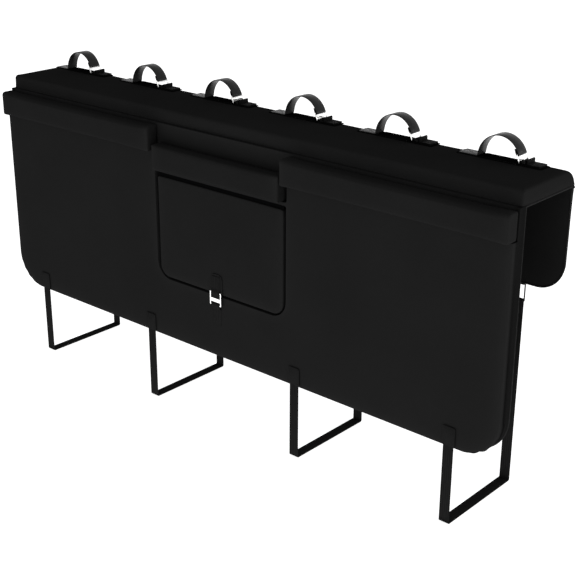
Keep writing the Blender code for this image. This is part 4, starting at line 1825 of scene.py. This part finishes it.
@dataclass
class UnderStraps(StrapSet):
    """The four straps that pass below the tailgate, with their adjusters, tabs and patches."""

    count: int = 4
    width: float = 0.0255
    thickness: float = 0.0018
    fold_radius: float = 0.003
    bar: float = 0.004
    tail: float = 0.030
    tab_return: float = 0.014
    hem: float = 0.004
    steps: int = 6
    stitch_inset: float = 0.0035

    def strap_path(self) -> List[Vector]:
        """From the front panel down, under the tailgate and up through the adjuster.

        Returns:
            The path's points.
        """
        low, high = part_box("under_strap_1")
        adjuster_low, adjuster_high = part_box("strap_adjuster_1")
        half = self.thickness / 2
        adjuster_y = (adjuster_low.y + adjuster_high.y) / 2
        leg_y = high.y - half
        wrap = leg_y - adjuster_y
        bar_z = adjuster_low.z + self.bar / 2
        corners = [
            (low.y + half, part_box("front_patch_1")[1].z - self.hem),
            (low.y + half, low.z + half),
            (leg_y, low.z + half),
            (leg_y, bar_z + wrap),
            (adjuster_y - wrap, bar_z + wrap),
            (adjuster_y - wrap, bar_z - self.tail),
        ]
        tight = wrap * TIGHT
        return fillet_path(corners, [self.fold_radius, self.fold_radius, tight, tight], self.steps)

    def tab_path(self) -> List[Vector]:
        """From the back flap round the adjuster's upper bar.

        Returns:
            The path's points.
        """
        low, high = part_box("rear_tab_1")
        adjuster_low, adjuster_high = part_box("strap_adjuster_1")
        half = self.thickness / 2
        adjuster_y = (adjuster_low.y + adjuster_high.y) / 2
        wrap = high.y - half - adjuster_y
        bar_z = adjuster_high.z - self.bar / 2
        corners = [
            (low.y + half, high.z),
            (low.y + half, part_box("back_flap")[0].z + wrap),
            (adjuster_y - wrap, bar_z + wrap),
            (adjuster_y - wrap, bar_z - wrap),
            (adjuster_y + wrap, bar_z - wrap),
            (adjuster_y + wrap, bar_z + self.tab_return),
        ]
        tight = wrap * TIGHT
        return fillet_path(corners, [half, half, tight, tight], self.steps)

    def center(self, number: int) -> Vector:
        """The middle of one strap across the pad."""
        low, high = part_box(f"under_strap_{number}")
        return Vector(((low.x + high.x) / 2, 0.0, 0.0))

    def build(self) -> None:
        """Lay the straps and their rear tabs."""
        kinds = {
            "under_strap": (self.strap_path(), self.finishes.matt),
            "rear_tab": (self.tab_path(), self.finishes.matt),
        }
        self.lay(Facing.ACROSS_PAD, kinds)

    def fit(self, number: int) -> None:
        """Add the adjuster and the front patch of one strap."""
        Fitting(f"strap_adjuster_{number}", self.finishes.plastic, Slot.PLASTIC, 0.0006).build()
        Fitting(f"front_patch_{number}", self.finishes.fabric, Slot.WEBBING, 0.0003, 1).build()

    def sew_ends(self, number: int) -> None:
        """Sew the front patch and the rear tab down with crossed boxes.

        Args:
            number: The strap's number.
        """
        inset = self.stitch_inset
        patch_low, patch_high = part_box(f"front_patch_{number}")
        tab_low, tab_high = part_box(f"rear_tab_{number}")
        center_x = (tab_low.x + tab_high.x) / 2
        patch_z = (patch_low.z + patch_high.z) / 2
        across = Vector(((patch_high.x - patch_low.x) / 2 - inset, 0, 0))
        along = Vector((0, 0, (patch_high.z - patch_low.z) / 2 - inset))
        runs = box_runs(Vector((center_x, patch_low.y, patch_z)), across, along, Vector((0, -1, 0)), True)
        tab_y = tab_low.y + self.thickness
        half_length = self.width / 2 - inset
        tab_z = tab_high.z - half_length - inset
        across, along = Vector((half_length, 0, 0)), Vector((0, 0, half_length))
        runs += box_runs(Vector((center_x, tab_y, tab_z)), across, along, Vector((0, 1, 0)), True)
        self.seamstress.sew(f"under_strap_stitching_{number}", runs)


@dataclass
class WindowClosure:
    """The slider that holds the window flap shut, its webbing, its patch and the hinge tape."""

    finishes: Finishes
    seamstress: Seamstress
    width: float = 0.0256
    thickness: float = 0.0014
    bar: float = 0.0028
    middle_bar: float = 0.009
    lower_slot: float = 0.0062
    anchor_length: float = 0.040
    bend_radius: float = 0.0008
    bend_steps: int = 3
    stitch_inset: float = 0.003

    def strap_path(self) -> List[Vector]:
        """From the anchor on the panel, over and under the slider's bars, to the patch.

        Returns:
            The path's points.
        """
        low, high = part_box("closure_buckle")
        patch_low, patch_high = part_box("closure_patch")
        half = self.thickness / 2
        on_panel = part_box("front_panel")[0].y - SEAM_GAP - half
        over = low.y - SEAM_GAP - half
        under = high.y + SEAM_GAP + half
        on_patch = patch_low.y - SEAM_GAP - half
        clear = (SEAM_GAP + self.thickness) / 2
        bar_top = low.z + self.bar
        middle_low = bar_top + self.lower_slot
        middle_high = middle_low + self.middle_bar
        upper = high.z - self.bar
        corners = [
            (on_panel, low.z - self.anchor_length - self.lower_slot * 2),
            (on_panel, low.z - self.lower_slot * 2),
            (over, low.z - SEAM_GAP),
            (over, bar_top + clear),
            (under, middle_low - clear),
            (under, middle_high + clear),
            (over, upper - clear),
            (over, high.z + SEAM_GAP),
            (on_patch, high.z + self.lower_slot),
            (on_patch, patch_high.z - self.bar * 2),
        ]
        return fillet_path(corners, [self.bend_radius] * (len(corners) - 2), self.bend_steps)

    def build(self) -> None:
        """Model the webbing and dress the fittings."""
        low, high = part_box("closure_buckle")
        place = Vector(((low.x + high.x) / 2, 0, 0))
        strip = Strip(
            "closure_webbing", self.strap_path(), self.width, self.thickness, Facing.ACROSS_PAD, place
        ).build()
        dress(strip, self.finishes.matt, Slot.WEBBING, "closure_strap")
        Fitting("closure_buckle", self.finishes.steel, Slot.STEEL, 0.0007, 3).build()
        Fitting("closure_patch", self.finishes.fabric, Slot.WEBBING, 0.0004).build()
        Fitting("window_hinge_tape", self.finishes.tape, Slot.TAPE, 0.0006).build()
        self.sew(place.x)

    def sew(self, center_x: float) -> None:
        """Sew the patch at its rim and the anchor with a crossed box.

        Args:
            center_x: The middle of the webbing.
        """
        inset = self.stitch_inset
        low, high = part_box("closure_patch")
        buckle_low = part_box("closure_buckle")[0]
        panel_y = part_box("front_panel")[0].y
        front = Vector((0, -1, 0))
        center = Vector((center_x, low.y, (low.z + high.z) / 2 + self.bar))
        half_width = (high.x - low.x) / 2 - inset / 2
        half_height = (high.z - low.z) / 2 - self.bar - inset / 2
        runs = box_runs(center, Vector((half_width, 0, 0)), Vector((0, 0, half_height)), front, False)
        anchor_bottom = buckle_low.z - self.anchor_length - self.lower_slot * 2
        anchor = Vector((center_x, panel_y - SEAM_GAP - self.thickness, anchor_bottom + self.width / 2))
        half = self.width / 2 - inset
        runs += box_runs(anchor, Vector((half, 0, 0)), Vector((0, 0, half)), front, True)
        self.seamstress.sew("closure_stitching", runs)


@dataclass
class FlapSeam:
    """The sewn line across the window flap, which turns down at its right end."""

    seamstress: Seamstress
    left_x: float = -0.1686
    right_x: float = 0.1623
    height: float = -0.2845
    corner: float = 0.0187
    turn_down: float = 0.024
    steps: int = 8

    def build(self, flap: Object) -> None:
        """Sew the line on the flap's face.

        Args:
            flap: The window flap that carries it.
        """
        corners = [
            (self.left_x, self.height),
            (self.right_x, self.height),
            (self.right_x, self.height - self.turn_down),
        ]
        path = fillet_path(corners, [self.corner], self.steps)
        front = flap.bound_box[0][1]
        runs = []
        for before, after in zip(path, path[1:]):
            ends = [self.on_face(flap, point, front) for point in (before, after)]
            runs.append((ends[0], ends[1], Vector((0, -1, 0))))
        self.seamstress.sew("window_flap_stitching", runs)

    def on_face(self, flap: Object, point: Vector, front: float) -> Vector:
        """Drop a point onto the flap's face.

        Args:
            flap: The flap.
            point: A place across and up the face.
            front: Where the face lies at its fullest.

        Returns:
            The place on the face.
        """
        start = Vector((point.x, front - self.corner, point.y))
        hit, place, _, _ = flap.ray_cast(start, Vector((0, 1, 0)))
        return place if hit else Vector((point.x, front, point.y))


# Camera, light and floor


@dataclass(frozen=True)
class Softbox:
    """A soft lamp that the camera doesn't see, with its place, target, width and height, and watts."""

    name: str
    place: Tuple[float, float, float]
    target: Tuple[float, float, float]
    size: Tuple[float, float]
    power: float

    def build(self) -> None:
        """Add the lamp and turn it to its target."""
        bpy.ops.object.light_add(type="AREA", location=self.place)
        lamp = bpy.context.object
        lamp.name = self.name
        lamp.data.shape = "RECTANGLE"
        lamp.data.size, lamp.data.size_y = self.size
        lamp.data.energy = self.power
        lamp.visible_camera = False
        ahead = Vector(self.target) - Vector(self.place)
        lamp.rotation_euler = ahead.to_track_quat("-Z", "Y").to_euler()


@dataclass
class Studio:
    """A pale floor, a white surround, soft lamps and the camera."""

    floor_color: Tuple[float, float, float] = (0.80, 0.80, 0.80)
    floor_size: float = 60.0
    floor_gap: float = 0.001
    camera_place: Tuple[float, float, float] = (1.85305, -1.99079, 0.68784)
    azimuth: float = math.radians(41.227)
    elevation: float = math.radians(21.724)
    roll: float = math.radians(0.248)
    lens: float = 74.84
    ambient: float = 0.58
    glow: float = 0.80
    pad_middle: Tuple[float, float, float] = (0.0, 0.0, -0.2)

    def build(self) -> None:
        """Add the camera, the surround, the lamps and the floor."""
        self.add_camera()
        self.add_world()
        self.add_floor()
        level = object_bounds()[0].z
        above = (0.0, 0.001, 0.0)
        Softbox("front_softbox", (0.0, -6.0, 0.0), self.pad_middle, (5.0, 2.0), 35.0).build()
        Softbox("right_softbox", (5.0, 3.2, 0.6), self.pad_middle, (4.0, 3.0), 150.0).build()
        Softbox("floor_softbox", (0.0, 0.0, level), above, (8.0, 8.0), 280.0).build()

    def add_camera(self) -> None:
        """Stand the camera where the photograph was taken from."""
        bpy.ops.object.camera_add()
        camera = bpy.context.object
        camera.data.sensor_width = 36.0
        camera.data.lens = self.lens
        camera.data.clip_end = 200.0
        back = Vector(
            (
                math.sin(self.azimuth) * math.cos(self.elevation),
                -math.cos(self.azimuth) * math.cos(self.elevation),
                math.sin(self.elevation),
            )
        )
        right = Vector((math.cos(self.azimuth), math.sin(self.azimuth), 0))
        up = back.cross(right)
        cosine, sine = math.cos(self.roll), math.sin(self.roll)
        turned_right = cosine * right + sine * up
        turned_up = cosine * up - sine * right
        turn = Matrix((turned_right, turned_up, back)).transposed().to_4x4()
        camera.matrix_world = Matrix.Translation(self.camera_place) @ turn
        bpy.context.scene.camera = camera

    @staticmethod
    def sees_background(tree: bpy.types.NodeTree) -> Socket:
        """One for camera, glossy and transmission rays, and nothing for the others.

        Args:
            tree: The node tree that asks.

        Returns:
            The socket that says so.
        """
        path = tree.nodes.new("ShaderNodeLightPath")
        total = path.outputs["Is Camera Ray"]
        for name in ("Is Glossy Ray", "Is Transmission Ray"):
            larger = tree.nodes.new("ShaderNodeMath")
            larger.operation = "MAXIMUM"
            tree.links.new(total, larger.inputs[0])
            tree.links.new(path.outputs[name], larger.inputs[1])
            total = larger.outputs[0]
        return total

    def add_world(self) -> None:
        """White where it is seen, and a plain even light elsewhere."""
        world = bpy.data.worlds.new("surround")
        world.use_nodes = True
        tree = world.node_tree
        background = tree.nodes["Background"]
        background.inputs["Color"].default_value = (1.0, 1.0, 1.0, 1.0)
        strength = tree.nodes.new("ShaderNodeMapRange")
        tree.links.new(self.sees_background(tree), strength.inputs["Value"])
        strength.inputs["To Min"].default_value = self.ambient
        strength.inputs["To Max"].default_value = 1.0
        tree.links.new(strength.outputs[0], background.inputs["Strength"])
        bpy.context.scene.world = world

    def add_floor(self) -> None:
        """Lay the floor just under the lowest strap, white to the camera apart from the shadow."""
        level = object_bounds()[0].z - self.floor_gap
        deselect_all()
        bpy.ops.mesh.primitive_plane_add(size=self.floor_size, location=(0, 0, level))
        floor = bpy.context.object
        floor.name = "studio_floor"
        settle(floor)
        material = bpy.data.materials.new("floor_look")
        material.use_nodes = True
        tree = material.node_tree
        shader = tree.nodes["Principled BSDF"]
        shader.inputs["Base Color"].default_value = (*self.floor_color, 1.0)
        shader.inputs["Roughness"].default_value = 0.9
        shader.inputs["Specular IOR Level"].default_value = 0.0
        shader.inputs["Emission Color"].default_value = (1.0, 1.0, 1.0, 1.0)
        glow = tree.nodes.new("ShaderNodeMath")
        glow.operation = "MULTIPLY"
        tree.links.new(self.sees_background(tree), glow.inputs[0])
        glow.inputs[1].default_value = self.glow
        tree.links.new(glow.outputs[0], shader.inputs["Emission Strength"])
        floor.data.materials.append(material)
        floor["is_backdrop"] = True


def main() -> None:
    """Build the studio and every piece of the cover, in order."""
    logging.basicConfig(level=logging.INFO, format="%(message)s")
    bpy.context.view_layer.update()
    bpy.context.scene.view_settings.view_transform = "Standard"
    Studio().build()
    finishes = Finishes()
    seamstress = Seamstress(finishes.thread)
    FrontPanel("front_panel", finishes).build()
    TopPanel("top_panel", finishes).build()
    BackFlap("back_flap", finishes).build()
    Bolster("bolster_left", finishes).build()
    Bolster("bolster_middle", finishes, top_round=0.0045).build()
    Bolster("bolster_right", finishes, reach_left=0.0080).build()
    flap = WindowFlap("window_flap", finishes).build()
    FlapSeam(seamstress).build(flap)
    WindowClosure(finishes, seamstress).build()
    TubeStraps(finishes, seamstress).build()
    UnderStraps(finishes, seamstress).build()


if __name__ == "__main__":
    main()
